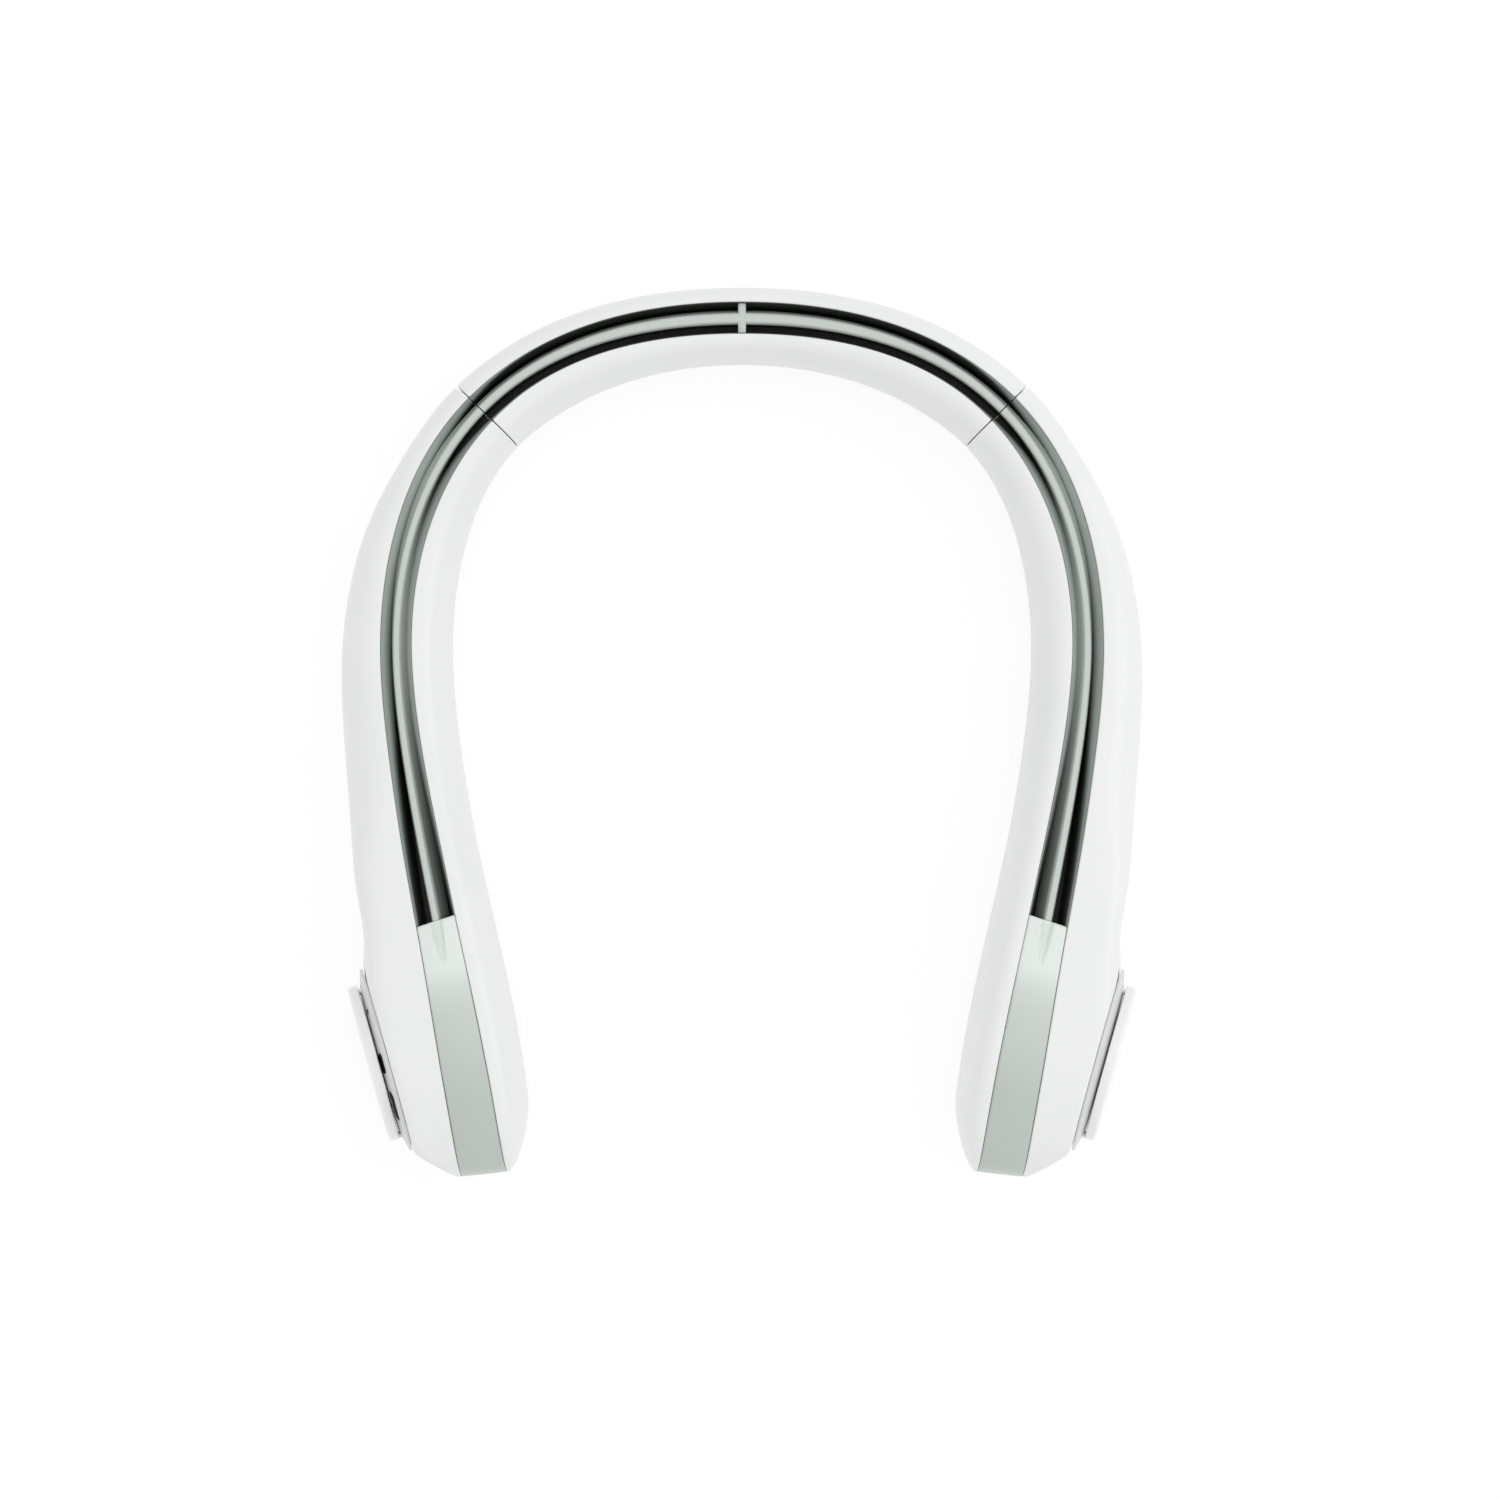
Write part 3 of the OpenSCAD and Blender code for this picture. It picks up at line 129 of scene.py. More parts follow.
# smooth curve through a row of shares, level at both ends
def through(shares, s):
    last = len(placeRuns) - 1
    s = min(max(abs(s), 0), placeRuns[-1])
    i = min(bisect.bisect_right(placeRuns, s) - 1, last - 1)
    w = placeRuns[i + 1] - placeRuns[i]
    t = (s - placeRuns[i]) / w

    def slope(k):
        if k in (0, last):
            return 0
        return (shares[k + 1] - shares[k - 1]) / (placeRuns[k + 1] - placeRuns[k - 1])

    return (shares[i] * (1 + 2 * t) * (1 - t) ** 2 + shares[i + 1] * t * t * (3 - 2 * t)
            + w * (slope(i) * t * (1 - t) ** 2 - slope(i + 1) * t * t * (1 - t)))


faceMiddle = Vector((body["faceX"], -body["faceY"]))
turn = math.radians(body["faceTurn"])
tilt = math.radians(body["faceTilt"])
faceOut = Vector((math.cos(turn), -math.sin(turn)))
nearSteps = 4 * line["samples"]
podRun = min((mixed(body["panelRun"], lineLength, i / nearSteps) for i in range(nearSteps + 1)),
             key=lambda s: (lineAt(s)[0] - faceMiddle).length)
podMiddle = body["height"] / 2


# 1 along the band, falling to 0 at the tip
def closing(s, start, power):
    if s <= start:
        return 1.0
    return max(0.0, 1 - min(1, (s - start) / (tipRun - start)) ** power) ** (1 / power)


def reachAt(s, side):
    s = abs(s)
    shares, reach, (start, power) = ((body["outer"], body["outerReach"], body["outerClose"]) if side > 0
                                     else (body["inner"], body["innerReach"], body["innerClose"]))
    full = through(shares, s) * reach
    if side > 0:
        more, near, far = body["shoulder"]
        full += more * eased((s / lineLength - near) / (far - near))
    return body["tipHalf"] + (full - body["tipHalf"]) * closing(s, start * lineLength, power)


def slotAt(s):
    return through(body["slot"], s) * body["slotHalf"]


def halfHeight(s):
    half, tip = through(body["heights"], s) * body["height"] / 2, body["tipHalfHeight"]
    return tip + (half - tip) * closing(abs(s), podRun, body["tipPower"])


def middleAt(s):
    return podMiddle if abs(s) > podRun else through(body["heights"], s) * body["height"] / 2


def topAt(s):
    return middleAt(s) + halfHeight(s)


# how square the section is: round at the back, squarer in the pods
def powerAt(s, side):
    t = eased((abs(s) / lineLength - body["squareFrom"]) / (body["squareTo"] - body["squareFrom"]))
    return mixed(body["bandPower"], body["podOuterPower"] if side > 0 else body["podInnerPower"], t)


# a quarter of a rounded square, spread evenly
def corner(angle, power):
    c, s = math.cos(angle), math.sin(angle)
    r = (c ** power + s ** power) ** (-1 / power) if 0 < angle < math.pi / 2 - 1e-6 else 1
    return s * r, c * r


# the lesser of two, blended over k
def softLimit(a, b, k):
    h = max(k - abs(a - b), 0) / k
    return min(a, b) - h * h * k / 4


# The shells' edges and how finely they are drawn; off the flat face, "noFace" is out of reach
shell = {
    "crownSteps": 26, "baseSteps": 18, "rimRound": 0.36, "rimShare": 0.6, "rimSteps": 4, "leastLand": 0.12,
    "seamRound": 0.2, "seamSteps": 2, "faceRound": 1.0, "edgeOn": 0.05, "noFace": 1000, "runStep": 1.6,
    "firstRun": 1.2, "endRound": 0.18, "tipSteps": 22, "tipCover": 2.0, "bevelFade": 9.0, "bevelSpare": 1,
}
tipShares = [math.sin(math.pi / 2 * i / shell["tipSteps"]) for i in range(1, shell["tipSteps"] + 1)]


# how far the pod's side leans with its flat face
def podLean(s):
    start, power = body["outerClose"]
    share = eased((abs(s) / lineLength - body["leanFrom"]) / (body["leanFull"] - body["leanFrom"]))
    return math.tan(tilt) * share * closing(abs(s), start * lineLength, power)


# how far out the flat face, or the wall behind it, lies at a run and a height
def faceLimit(s, inset):
    p, _, out = lineAt(abs(s))
    d = out.dot(faceOut)
    if d < shell["edgeOn"]:
        return lambda z: shell["noFace"]
    middle = (faceMiddle - p).dot(faceOut) - inset / math.cos(tilt)
    return lambda z: (middle - (z - podMiddle) * math.tan(tilt)) / d


# half a section from the slot's rim over the side to the seam underneath: offsets and heights
def skinRow(s, side, inset=0.0, chamfer=0.0):
    inside = inset > 0
    draw = inset + chamfer
    slot = slotAt(s) + chamfer
    reach = reachAt(s, side) - draw
    if inside:
        reach = max(reach, slot + shell["leastLand"])
    h, m, power = halfHeight(s) - draw, middleAt(s), powerAt(s, side)
    tipped = podLean(s) if side > 0 else 0
    base = min(body["baseHalf"], reach * body["baseShare"])
    top, low = m + h, m - h
    r, row = min(shell["rimRound"], (reach - slot) * shell["rimShare"]), []
    for i in range(shell["rimSteps"] + 1):
        a = math.pi / 2 * i / shell["rimSteps"]
        row.append((slot + r * (1 - math.cos(a)), top if inside else top - r * (1 - math.sin(a))))
    for i in range(1, shell["crownSteps"] + 1):
        x, y = corner(math.pi / 2 * i / shell["crownSteps"], power)
        row.append((max(slot + (reach - slot - tipped * h * y) * x, slot + r), m + h * y))
    for i in range(1, shell["baseSteps"] + 1):
        y, x = corner(math.pi / 2 * i / shell["baseSteps"], power)
        row.append((base + (reach - base + tipped * h * y) * x, m - h * y))
    q, gap = shell["seamRound"], body["seamGap"] / 2
    for i in range(shell["seamSteps"] + 1):
        a = math.pi / 2 * i / shell["seamSteps"]
        row.append((gap + q * (1 - math.sin(a)), low if inside else low + q * (1 - math.cos(a))))
    if side > 0:
        limit = faceLimit(s, draw)
        row = [(softLimit(u, limit(z), shell["faceRound"]) if u > slot + r else u, z) for u, z in row]
    return [(side * u, z) for u, z in row]


# the inner skin's last row, drawn in to the split so that the tip is closed
def closedRow(s, side, count):
    slot, top, low = slotAt(s), topAt(s) - shell["tipCover"], middleAt(s) - halfHeight(s)
    across, gap = shell["rimSteps"] + shell["crownSteps"], body["seamGap"] / 2
    row = []
    for j in range(count):
        if j < across:
            row.append((side * max(gap, slot * (1 - j / (across - 1))), top))
        else:
            row.append((side * gap, mixed(top, low, (j - across + 1) / (count - across))))
    return row


# a point at a run, an offset and a height
def place(s, u, z, shift=0.0):
    p, w, out = lineAt(s)
    q = p + out * u + w * shift
    return Vector((q.x, q.y, z)) * scaleMm


weldDistance = 1e-7  # this one in metres


def smoothed(mesh, angle=35):
    for p in mesh.polygons:
        p.use_smooth = True
    mesh.set_sharp_from_angle(angle=math.radians(angle))


# a piece from corners and faces; the painted-light shares say how far each corner takes its finish's deep
# colour, which is painted shade in the slot and a painted highlight on the panel
def makePiece(name, verts, faces, smoothAngle=35, paintedLightShares=None):
    mesh = bpy.data.meshes.new(name)
    mesh.from_pydata([tuple(v) for v in verts], [], faces)
    if paintedLightShares:
        mesh.attributes.new("deep", "FLOAT", "POINT").data.foreach_set("value", paintedLightShares)
    bm = bmesh.new()
    bm.from_mesh(mesh)
    bmesh.ops.remove_doubles(bm, verts=bm.verts, dist=weldDistance)
    bmesh.ops.recalc_face_normals(bm, faces=bm.faces)
    bm.to_mesh(mesh)
    bm.free()
    smoothed(mesh, smoothAngle)
    piece = bpy.data.objects.new(name, mesh)
    bpy.context.scene.collection.objects.link(piece)
    return piece


# faces between rings with k corners each
def bandFaces(rows, k):
    return [(i * k + j, i * k + (j + 1) % k, (i + 1) * k + (j + 1) % k, (i + 1) * k + j)
            for i in range(rows - 1) for j in range(k)]


# a solid between two skins of rows
def skinned(outside, inside):
    rows, n = len(outside), len(outside[0])
    k = 2 * n
    verts = [v for a, b in zip(outside, inside) for v in list(a) + list(reversed(b))]
    faces = bandFaces(rows, k)
    for i in (0, rows - 1):
        faces += [(i * k + j, i * k + j + 1, i * k + k - 2 - j, i * k + k - 1 - j) for j in range(n - 1)]
    return verts, faces


def lofted(rings):
    rows, k = len(rings), len(rings[0])
    ends = [tuple(range(k)), tuple(range((rows - 1) * k, rows * k))]
    return [v for r in rings for v in r], bandFaces(rows, k) + ends


def spread(start, end, step):
    n = max(2, round(abs(end - start) / step))
    return [mixed(start, end, i / n) for i in range(n + 1)]


armStart = body["hingeRun"] + body["jointGap"] / 2
neckEnd = body["hingeRun"] - body["jointGap"] / 2


def mirrored(verts, left):
    return [Vector((-v.x, v.y, v.z)) for v in verts] if left else verts


# the arm's seam is bevelled outside the pin, so that the arm can open
def bevelAt(s, u):
    fade = max(0.0, 1 - (s - armStart) / shell["bevelFade"])
    angle = math.radians(body["opening"] + shell["bevelSpare"])
    return max(0.0, u - body["pinOffset"]) * math.tan(angle) * fade


# a half shell along the given runs
def shellAlong(runs, side, shiftAt, closedTip):
    outside, inside, last = [], [], len(runs) - 1
    for i, s in enumerate(runs):
        outer = skinRow(s, side, 0, shell["endRound"] if i in (0, last) else 0)
        inner = closedRow(s, side, len(outer)) if closedTip and i == last else skinRow(s, side, body["wall"])
        outside.append([place(s, u, z, shiftAt(s, u)) for u, z in outer])
        inside.append([place(s, u, z, shiftAt(s, u)) for u, z in inner])
    return skinned(outside, inside)


def armShell(side):
    e = shell["endRound"]
    runs = [armStart, armStart + e] + spread(armStart + shell["firstRun"], podRun, shell["runStep"])
    runs += [podRun + (tipRun - e - podRun) * k for k in tipShares] + [tipRun]
    return shellAlong(runs, side, bevelAt, True)


def neckShell(side):
    e, first = shell["endRound"], shell["firstRun"]
    runs = [-neckEnd, e - neckEnd] + spread(first - neckEnd, neckEnd - first, shell["runStep"])
    runs += [neckEnd - e, neckEnd]
    return shellAlong(runs, side, lambda s, u: 0.0, False)


def cutAway(piece, cutters):
    for c in cutters:
        m = piece.modifiers.new("cut", "BOOLEAN")
        m.operation, m.object, m.solver = "DIFFERENCE", c, "EXACT"
    bpy.context.view_layer.update()
    seen = piece.evaluated_get(bpy.context.evaluated_depsgraph_get())
    mesh = bpy.data.meshes.new_from_object(seen)
    piece.modifiers.clear()
    piece.data = mesh
    smoothed(mesh)
    for c in cutters:
        bpy.data.objects.remove(c)


# a closed outline of radius and height, turned about an axis
def turned(name, profile, matrix, steps):
    verts, faces, k = [], [], len(profile)
    for i in range(steps):
        a = 2 * math.pi * i / steps
        verts += [matrix @ Vector((r * math.cos(a), r * math.sin(a), z)) * scaleMm for r, z in profile]
        j = (i + 1) % steps
        faces += [(i * k + n, i * k + (n + 1) % k, j * k + (n + 1) % k, j * k + n) for n in range(k)]
    return makePiece(name, verts, faces)


def faceMatrix(left):
    m = (Matrix.Translation((body["faceX"], -body["faceY"], podMiddle))
         @ Matrix.Rotation(-turn, 4, "Z") @ Matrix.Rotation(math.pi / 2 - tilt, 4, "Y"))
    return Matrix.Diagonal((-1, 1, 1, 1)) @ m if left else m


# What is cut from the outer shells: the seat of the intake ring and the screw holes underneath
socket = {"radius": 22.2, "depth": 7.4, "over": 3, "edge": 0.25, "steps": 128}
screwSeat = {"radius": 1.1, "headRadius": 2.0, "head": 0.8, "offset": 2.3, "armShares": (0.24, 0.6, 0.96),
             "neckShare": 0.6, "edge": 0.12, "over": 1, "steps": 40}


def socketCutter(left):
    r, d, e, over = socket["radius"], socket["depth"], socket["edge"], socket["over"]
    outline = [(0, -d), (r, -d), (r, -e), (r + e, 0), (r + e, over), (0, over)]
    return turned("socketCutter", outline, faceMatrix(left), socket["steps"])


def screwCutter(s):
    p, w, out = lineAt(s)
    c = screwSeat
    q, wide, deep = p + out * c["offset"], c["headRadius"] + c["edge"], body["wall"] + c["over"]
    outline = [(0, -c["over"]), (wide, -c["over"]), (wide, 0), (c["headRadius"], c["edge"]),
               (c["headRadius"], c["head"]), (c["radius"], c["head"]), (c["radius"], deep), (0, deep)]
    return turned("screwCutter", outline, Matrix.Translation((q.x, q.y, 0)), c["steps"])


# The top panel, whose upper end also ends the slot
panelLook = {
    "gap": 0.12, "thickness": 1.8, "crown": 0.5, "edge": 0.5, "edgeFrom": 0.88, "edgePower": 2.5, "lip": 1.2,
    "lipDrop": 0.7, "lipShares": (0, 0.02, 0.06, 0.14, 0.25, 0.4, 0.6, 0.8, 1), "groove": 11.6,
    "grooveEnd": 0.35, "bank": 0.35, "blend": 0.35, "hump": 0.12, "late": 1.55, "slant": 0.106,
    "slantRun": 24, "step": 0.5, "fineTo": 13, "restFrom": 14, "across": 36, "acrossPower": 0.8, "smooth": 40,
    # the painted highlight: runs from the panel's upper end and how much of the paler colour each takes
    "paintedHighlight": ((0, 1), (12, 1), (18, 0.5), (24, 0.28), (45, 0)),
}

# The air slot's liner: its walls lean in along the arms, and shade is painted into its colour further down
ductLook = {
    "play": 0.08, "wall": 0.9, "lipWall": 0.14, "thicken": (1.4, 3.2), "depth": 17, "rimSink": 0.42,
    "lean": 1.8, "leanDepth": 7, "panelStep": 1.85, "stepGap": 0.2, "stepRun": 0.05, "endBeforePod": 22.7,
    "leans": (0, 0, 0.3, 1.12, 1.2, 1, 0.9, 0.5, 0.2, 0, 0),
    # how far down each place's walls stay sage before the painted shade starts, how it fades in, and under
    # which start depth the whole wall takes it
    "paintedShadeStarts": (0, 0.5, 4, 11, 12, 9, 3.8, 2.4, 2.2, 2.2, 2.2),
    "fade": (0.5, 0.8, 0.01), "darkUnder": 1.5, "smooth": 30,
    "downs": (0, 0.6, 1.4, 2.6, 4, 5.5, 7, 8.5, 10.5, 13),
}
ductEnd = podRun - ductLook["endBeforePod"]
panelStart = body["panelRun"] + panelLook["late"]
ductStepEnd = panelStart - ductLook["stepGap"]


# the panel's upper end lies slightly askew to the slot
def skewed(s, u):
    return s + panelLook["slant"] * u * eased(1 - abs(s - panelStart) / panelLook["slantRun"])


# outer and inner rows of the liner, with how much painted shade each corner takes
def ductRows(s):
    d = ductLook
    w = slotAt(s) - d["play"]
    t = topAt(s) - (d["panelStep"] if abs(s) > ductStepEnd else d["rimSink"])
    b = topAt(s) - d["depth"]
    lean, sage = through(d["leans"], s) * d["lean"], through(d["paintedShadeStarts"], s)
    fadeFrom, fadeOver, leastFade = d["fade"]

    def side(floor, wallAt):
        rows = []
        for down in (*d["downs"], t - floor):
            # painted shade: the wall's sage turns to the dark colour below the start depth
            shade = max(eased((down - sage * fadeFrom) / max(sage * fadeOver, leastFade)),
                        eased(1 - sage / d["darkUnder"]))
            rows.append((w - wallAt(down) - lean * min(1, down / d["leanDepth"]), t - down, shade))
        return rows

    near, far = d["thicken"]
    outer = side(b, lambda down: 0)
    inner = side(b + d["wall"], lambda down: mixed(d["lipWall"], d["wall"], eased((down - near) / far)))
    outer = outer + [(0, b, 1)] + [(-u, z, k) for u, z, k in reversed(outer)]
    inner = inner + [(0, b + d["wall"], 1)] + [(-u, z, k) for u, z, k in reversed(inner)]
    return outer, inner


def duct(name, runs, left):
    outside, inside, paintedLightMarks = [], [], []
    for s in runs:
        a, b = ductRows(s)
        outside.append([place(skewed(s, u), u, z) for u, z, k in a])
        inside.append([place(skewed(s, u), u, z) for u, z, k in b])
        # the hidden outer skin takes the full painted shade, the inner skin its painted shade by depth
        paintedLightMarks += [1.0] * len(a) + [k for u, z, k in reversed(b)]
    verts, faces = skinned(outside, inside)
    return makePiece(name, mirrored(verts, left), faces, ductLook["smooth"], paintedLightMarks)


# The guide fin: a rounded crest with sloping flanks, on a thin web; shade is painted into its flanks and web
finLook = {
    "crest": 3.1, "taper": 0.34, "taperRun": 0.4, "sink": 1.3, "foot": 6, "play": 0.05, "endGap": 0.1,
    "web": 1.2, "round": 1.0, "power": 5.5, "crestSteps": 14, "smooth": 30,
    # the third number of each flank spot is how much painted shade it takes
    "flank": ((0.15, 0.18, 0.8), (0.5, 0.5, 0.9), (0.8, 0.8, 0.97), (1, 1, 1)),  # out, down and dark
    "outer": {"drop": 2.3, "flares": (0.6, 0.6, 0.8, 1.3, 0.9, 0.3, 0.3, 0.3, 0.3, 0.3, 0.3),
              "shades": (0.5, 0.5, 0.45, 0.25, 0.35, 0.6, 0.8, 0.9, 0.9, 0.9, 0.9)},
    "inner": {"drop": 3.6, "flares": (0.1, 0.1, 0.1, 0.3, 1.2, 2.2, 2.2, 2.4, 2.4, 2.4, 2.4),
              "shades": (1, 1, 1, 0.9, 0.5, 0.45, 0.72, 0.9, 0.93, 0.93, 0.93)},
}


def crestAt(s):
    return finLook["crest"] * (1 - finLook["taper"] * eased(abs(s) / lineLength / finLook["taperRun"]))


# one row round the fin, with how much painted shade each corner takes
def finRow(s):
    f = finLook
    t, half = topAt(s) - f["sink"], crestAt(s) / 2
    b = topAt(s) - ductLook["depth"] + ductLook["wall"] + f["play"]

    def flank(look):
        out, shade = through(look["flares"], s), through(look["shades"], s)
        spots = [(half + out * far, t - mixed(f["round"], look["drop"], down), shade * dark)
                 for far, down, dark in f["flank"]]
        return spots + [(f["web"] / 2, t - f["foot"], 1), (f["web"] / 2, b, 1)]

    n = f["crestSteps"]
    crest = []
    for i in range(n + 1):
        x = math.sin(math.pi * (i / n - 0.5))
        crest.append((half * x, t - f["round"] * abs(x) ** f["power"], 0))
    return [(-u, z, k) for u, z, k in reversed(flank(f["inner"]))] + crest + flank(f["outer"])


# the short bar across the slot at the middle of the neck; its sides take painted shade towards the bottom
barLook = {"width": 2.0, "drop": 1.25, "height": 1.5, "round": 0.4, "power": 3, "steps": 10, "short": 0.3}


def crossBar():
    b = barLook
    reach, top, outline = slotAt(0) - b["short"], topAt(0) - b["drop"], []
    for i in range(b["steps"] + 1):
        x = -math.cos(math.pi * i / b["steps"])
        outline.append((x * b["width"] / 2, top - b["round"] * abs(x) ** b["power"], 0))
    outline = [(-b["width"] / 2, top - b["height"], 1)] + outline + [(b["width"] / 2, top - b["height"], 1)]
    rings = [[place(0, u, z, x) for x, z, k in outline] for u in (-reach, reach)]
    verts, faces = lofted(rings)
    return verts, faces, [k for x, z, k in outline] * 2


def fin(name, runs, left, bar=False):
    rings, paintedLightMarks = [], []
    for s in runs:
        row = finRow(s)
        rings.append([place(skewed(s, u), u, z) for u, z, k in row])
        paintedLightMarks += [k for u, z, k in row]
    verts, faces = lofted(rings)
    if bar:
        more, moreFaces, morePaintedLightMarks = crossBar()
        faces += [tuple(i + len(verts) for i in f) for f in moreFaces]
        verts, paintedLightMarks = verts + more, paintedLightMarks + morePaintedLightMarks
    return makePiece(name, mirrored(verts, left), faces, finLook["smooth"], paintedLightMarks)


# how high the panel lies: a crowned plate with a rounded lip and a groove in which the fin runs out
def panelTop(s, u, half):
    p = panelLook
    k, run = abs(u) / half, s - panelStart
    past = max(0, (k - p["edgeFrom"]) / (1 - p["edgeFrom"]))
    z = p["crown"] * (1 - k * k) - p["edge"] * past ** p["edgePower"]
    if run < p["lip"]:
        z -= p["lip"] * p["lipDrop"] * (1 - math.sqrt(max(0, 1 - (1 - run / p["lip"]) ** 2)))
    if run < p["groove"]:
        f = max(0, run / p["groove"])
        floor = -finLook["sink"] + (finLook["sink"] + p["crown"]) * f * f
        width = crestAt(panelStart) / 2 * (1 - (1 - p["grooveEnd"]) * f * f)
        hump = p["hump"] * (1 - min(1, abs(u) / width) ** 2)
        bank = floor + max(0, abs(u) - width) / p["bank"] + hump
        z = softLimit(z, bank, p["blend"]) if bank < z + p["blend"] else z
    return z


# the painted highlight on the panel's upper end: it fades down its length
def paintedHighlightAt(run):
    for (a, start), (b, end) in zip(panelLook["paintedHighlight"], panelLook["paintedHighlight"][1:]):
        if run < b:
            return mixed(start, end, max(0, run - a) / (b - a))
    return 0


def panel(name, left):
    p = panelLook
    runs = [panelStart + p["lip"] * k for k in p["lipShares"]]
    runs += spread(panelStart + p["lip"] + p["step"], panelStart + p["fineTo"], p["step"])
    runs += spread(panelStart + p["restFrom"], podRun, shell["runStep"])
    runs += [podRun + (tipRun - podRun) * k for k in tipShares]
    rings, paintedLightMarks = [], []
    for s in runs:
        half, t = slotAt(s) - p["gap"], topAt(s)
        spots = []
        for i in range(p["across"] + 1):
            k = 2 * i / p["across"] - 1
            k = math.copysign(abs(k) ** p["acrossPower"], k)
            spots.append((half * k, t + panelTop(s, half * k, half)))
        spots += [(half, t - p["thickness"]), (-half, t - p["thickness"])]
        rings.append([place(skewed(s, u), u, z) for u, z in spots])
        # each ring takes the painted highlight by its run from the panel's upper end
        paintedLightMarks += [paintedHighlightAt(s - panelStart)] * len(spots)
    verts, faces = lofted(rings)
    return makePiece(name, mirrored(verts, left), faces, p["smooth"], paintedLightMarks)


# corners of a closed outline rounded by the given amounts
def softened(outline, steps=4):
    rounded, n = [], len(outline)
    for i, (x, y, r) in enumerate(outline):
        p = Vector((x, y))
        if not r:
            rounded.append((x, y))
            continue
        before = (Vector(outline[i - 1][:2]) - p).normalized() * r
        after = (Vector(outline[(i + 1) % n][:2]) - p).normalized() * r
        for j in range(steps + 1):
            k = j / steps
            q = p + before * (1 - k) ** 2 + after * k * k
            rounded.append((q.x, q.y))
    return rounded


# The intake ring: a slanted band round a funnel, which plugs into the shell
ringLook = {
    "radius": 24.2, "mouth": 18.4, "low": 0.1, "step": 0.75, "rise": 2.2, "throat": 13.6, "depth": 7.4,
    "lip": 0.4, "wall": 1.1, "plug": 22.1, "flareSteps": 14, "edge": 0.14, "lowEdge": 0.05, "mouthEdge": 0.3,
    "plugEdge": 0.2, "postReach": 19.6, "postRadius": 0.85, "postTurns": (75, 180, -80), "postPlay": 0.05,
    "postCut": (-8, 4), "steps": 160, "holeSteps": 32,
}
# The round disc, which stands off the ring on three posts
coverLook = {
    "radius": 20.5, "standoff": 2.4, "thickness": 2.7, "rim": 2.5, "flat": 18.4, "flatEdge": 0.5,
    "lowEdge": 0.25, "topEdge": 0.9, "edgeSteps": 8, "dome": 0.3, "domeSteps": 10,
    "postLow": -1.45, "postEdge": 0.15, "postIn": 0.3, "fillet": 0.12, "filletEdge": 0.1,
}
# Charging socket, power button and status light, set in the left ring; turns are in degrees round it
controlLook = {
    "radius": 20.2, "low": -6.3, "edge": 0.16, "edgeSteps": 4, "gap": 0.1, "proud": 0.2, "smooth": 40,
    "portTurn": -33, "port": (8.34, 2.56), "portShell": 0.3, "portDepth": 6.2, "portEdge": 0.08,
    "tongue": (6.7, 0.7, 3.5), "tongueEdge": 0.1, "tongueSteps": 3, "tongueRoot": 0.2,
    "tongueTip": (0.25, 0.6, 0.96),  # its length and how narrow and short it ends
    "buttonTurn": 1, "button": (5.2, 2.5), "buttonLow": -1.7, "dish": 0.12, "dishShares": (0.7, 0.35),
    "lensTurn": 43, "lens": 0.75, "lensEdge": 0.2, "lensPlay": 0.05, "cut": (-9, 4),
}


# the ring's height at a radius
def slopeAt(r):
    c = ringLook
    return c["step"] + (c["radius"] - r) / (c["radius"] - c["mouth"]) * (c["rise"] - c["step"])


# the funnel's skin from throat to mouth, or the one behind it
def flareRow(out):
    c, row = ringLook, []
    for i in range(c["flareSteps"] + 1):
        a = math.pi / 2 * i / c["flareSteps"]
        rise = -c["wall"] if out else c["rise"]
        row.append((c["throat"] + out + (c["mouth"] - c["lip"] - c["throat"]) * (1 - math.cos(a)),
                    (rise + c["depth"]) * math.sin(a) - c["depth"], 0))
    return row


def atRing(left, angle, reach):
    return (faceMatrix(left) @ Matrix.Rotation(math.pi - math.radians(angle), 4, "Z")
            @ Matrix.Translation((reach, 0, 0)))


# an oblong with round ends, drawn in by an inset
def stadium(length, width, inset=0.0, steps=10):
    r, half = width / 2 - inset, (length - width) / 2
    spots = []
    for end in (1, -1):
        for i in range(steps + 1):
            a = math.pi * i / steps + (0 if end > 0 else math.pi)
            spots.append((r * math.cos(a), half * end + r * math.sin(a)))
    return spots


# a peg with the given outline, whose top follows the ring's slope and has a rounded edge
def peg(name, outlineAt, matrix, low, sink, edge, dish=0.0):
    c, rings = controlLook, [[(x, y, low) for x, y in outlineAt(0)]]
    for i in range(c["edgeSteps"] + 1):
        a = math.pi / 2 * i / c["edgeSteps"]
        inset, drop = edge * (1 - math.cos(a)), edge * (1 - math.sin(a))
        rings.append([(x, y, slopeAt(c["radius"] + x) - sink - drop) for x, y in outlineAt(inset)])
    for k in c["dishShares"] if dish else ():
        rings.append([(x * k, y * k, slopeAt(c["radius"] + x * k) - sink - dish * (1 - k))
                      for x, y, z in rings[-1]])
    verts, faces = lofted([[matrix @ Vector(q) * scaleMm for q in r] for r in rings])
    return makePiece(name, verts, faces, c["smooth"])


# a straight block with the given outline, from one height to another
def block(name, spots, matrix, heights):
    verts, faces = lofted([[matrix @ Vector((x, y, z)) * scaleMm for x, y in spots] for z in heights])
    return makePiece(name, verts, faces)


# a straight round cutter
def drill(name, radius, matrix, heights):
    low, high = heights
    outline = [(0, low), (radius, low), (radius, high), (0, high)]
    return turned(name, outline, matrix, ringLook["holeSteps"])


def joined(name, pieces):
    verts, faces = [], []
    for o in pieces:
        base = len(verts)
        verts += [v.co.copy() for v in o.data.vertices]
        faces += [tuple(base + i for i in p.vertices) for p in o.data.polygons]
        bpy.data.objects.remove(o)
    return makePiece(name, verts, faces)


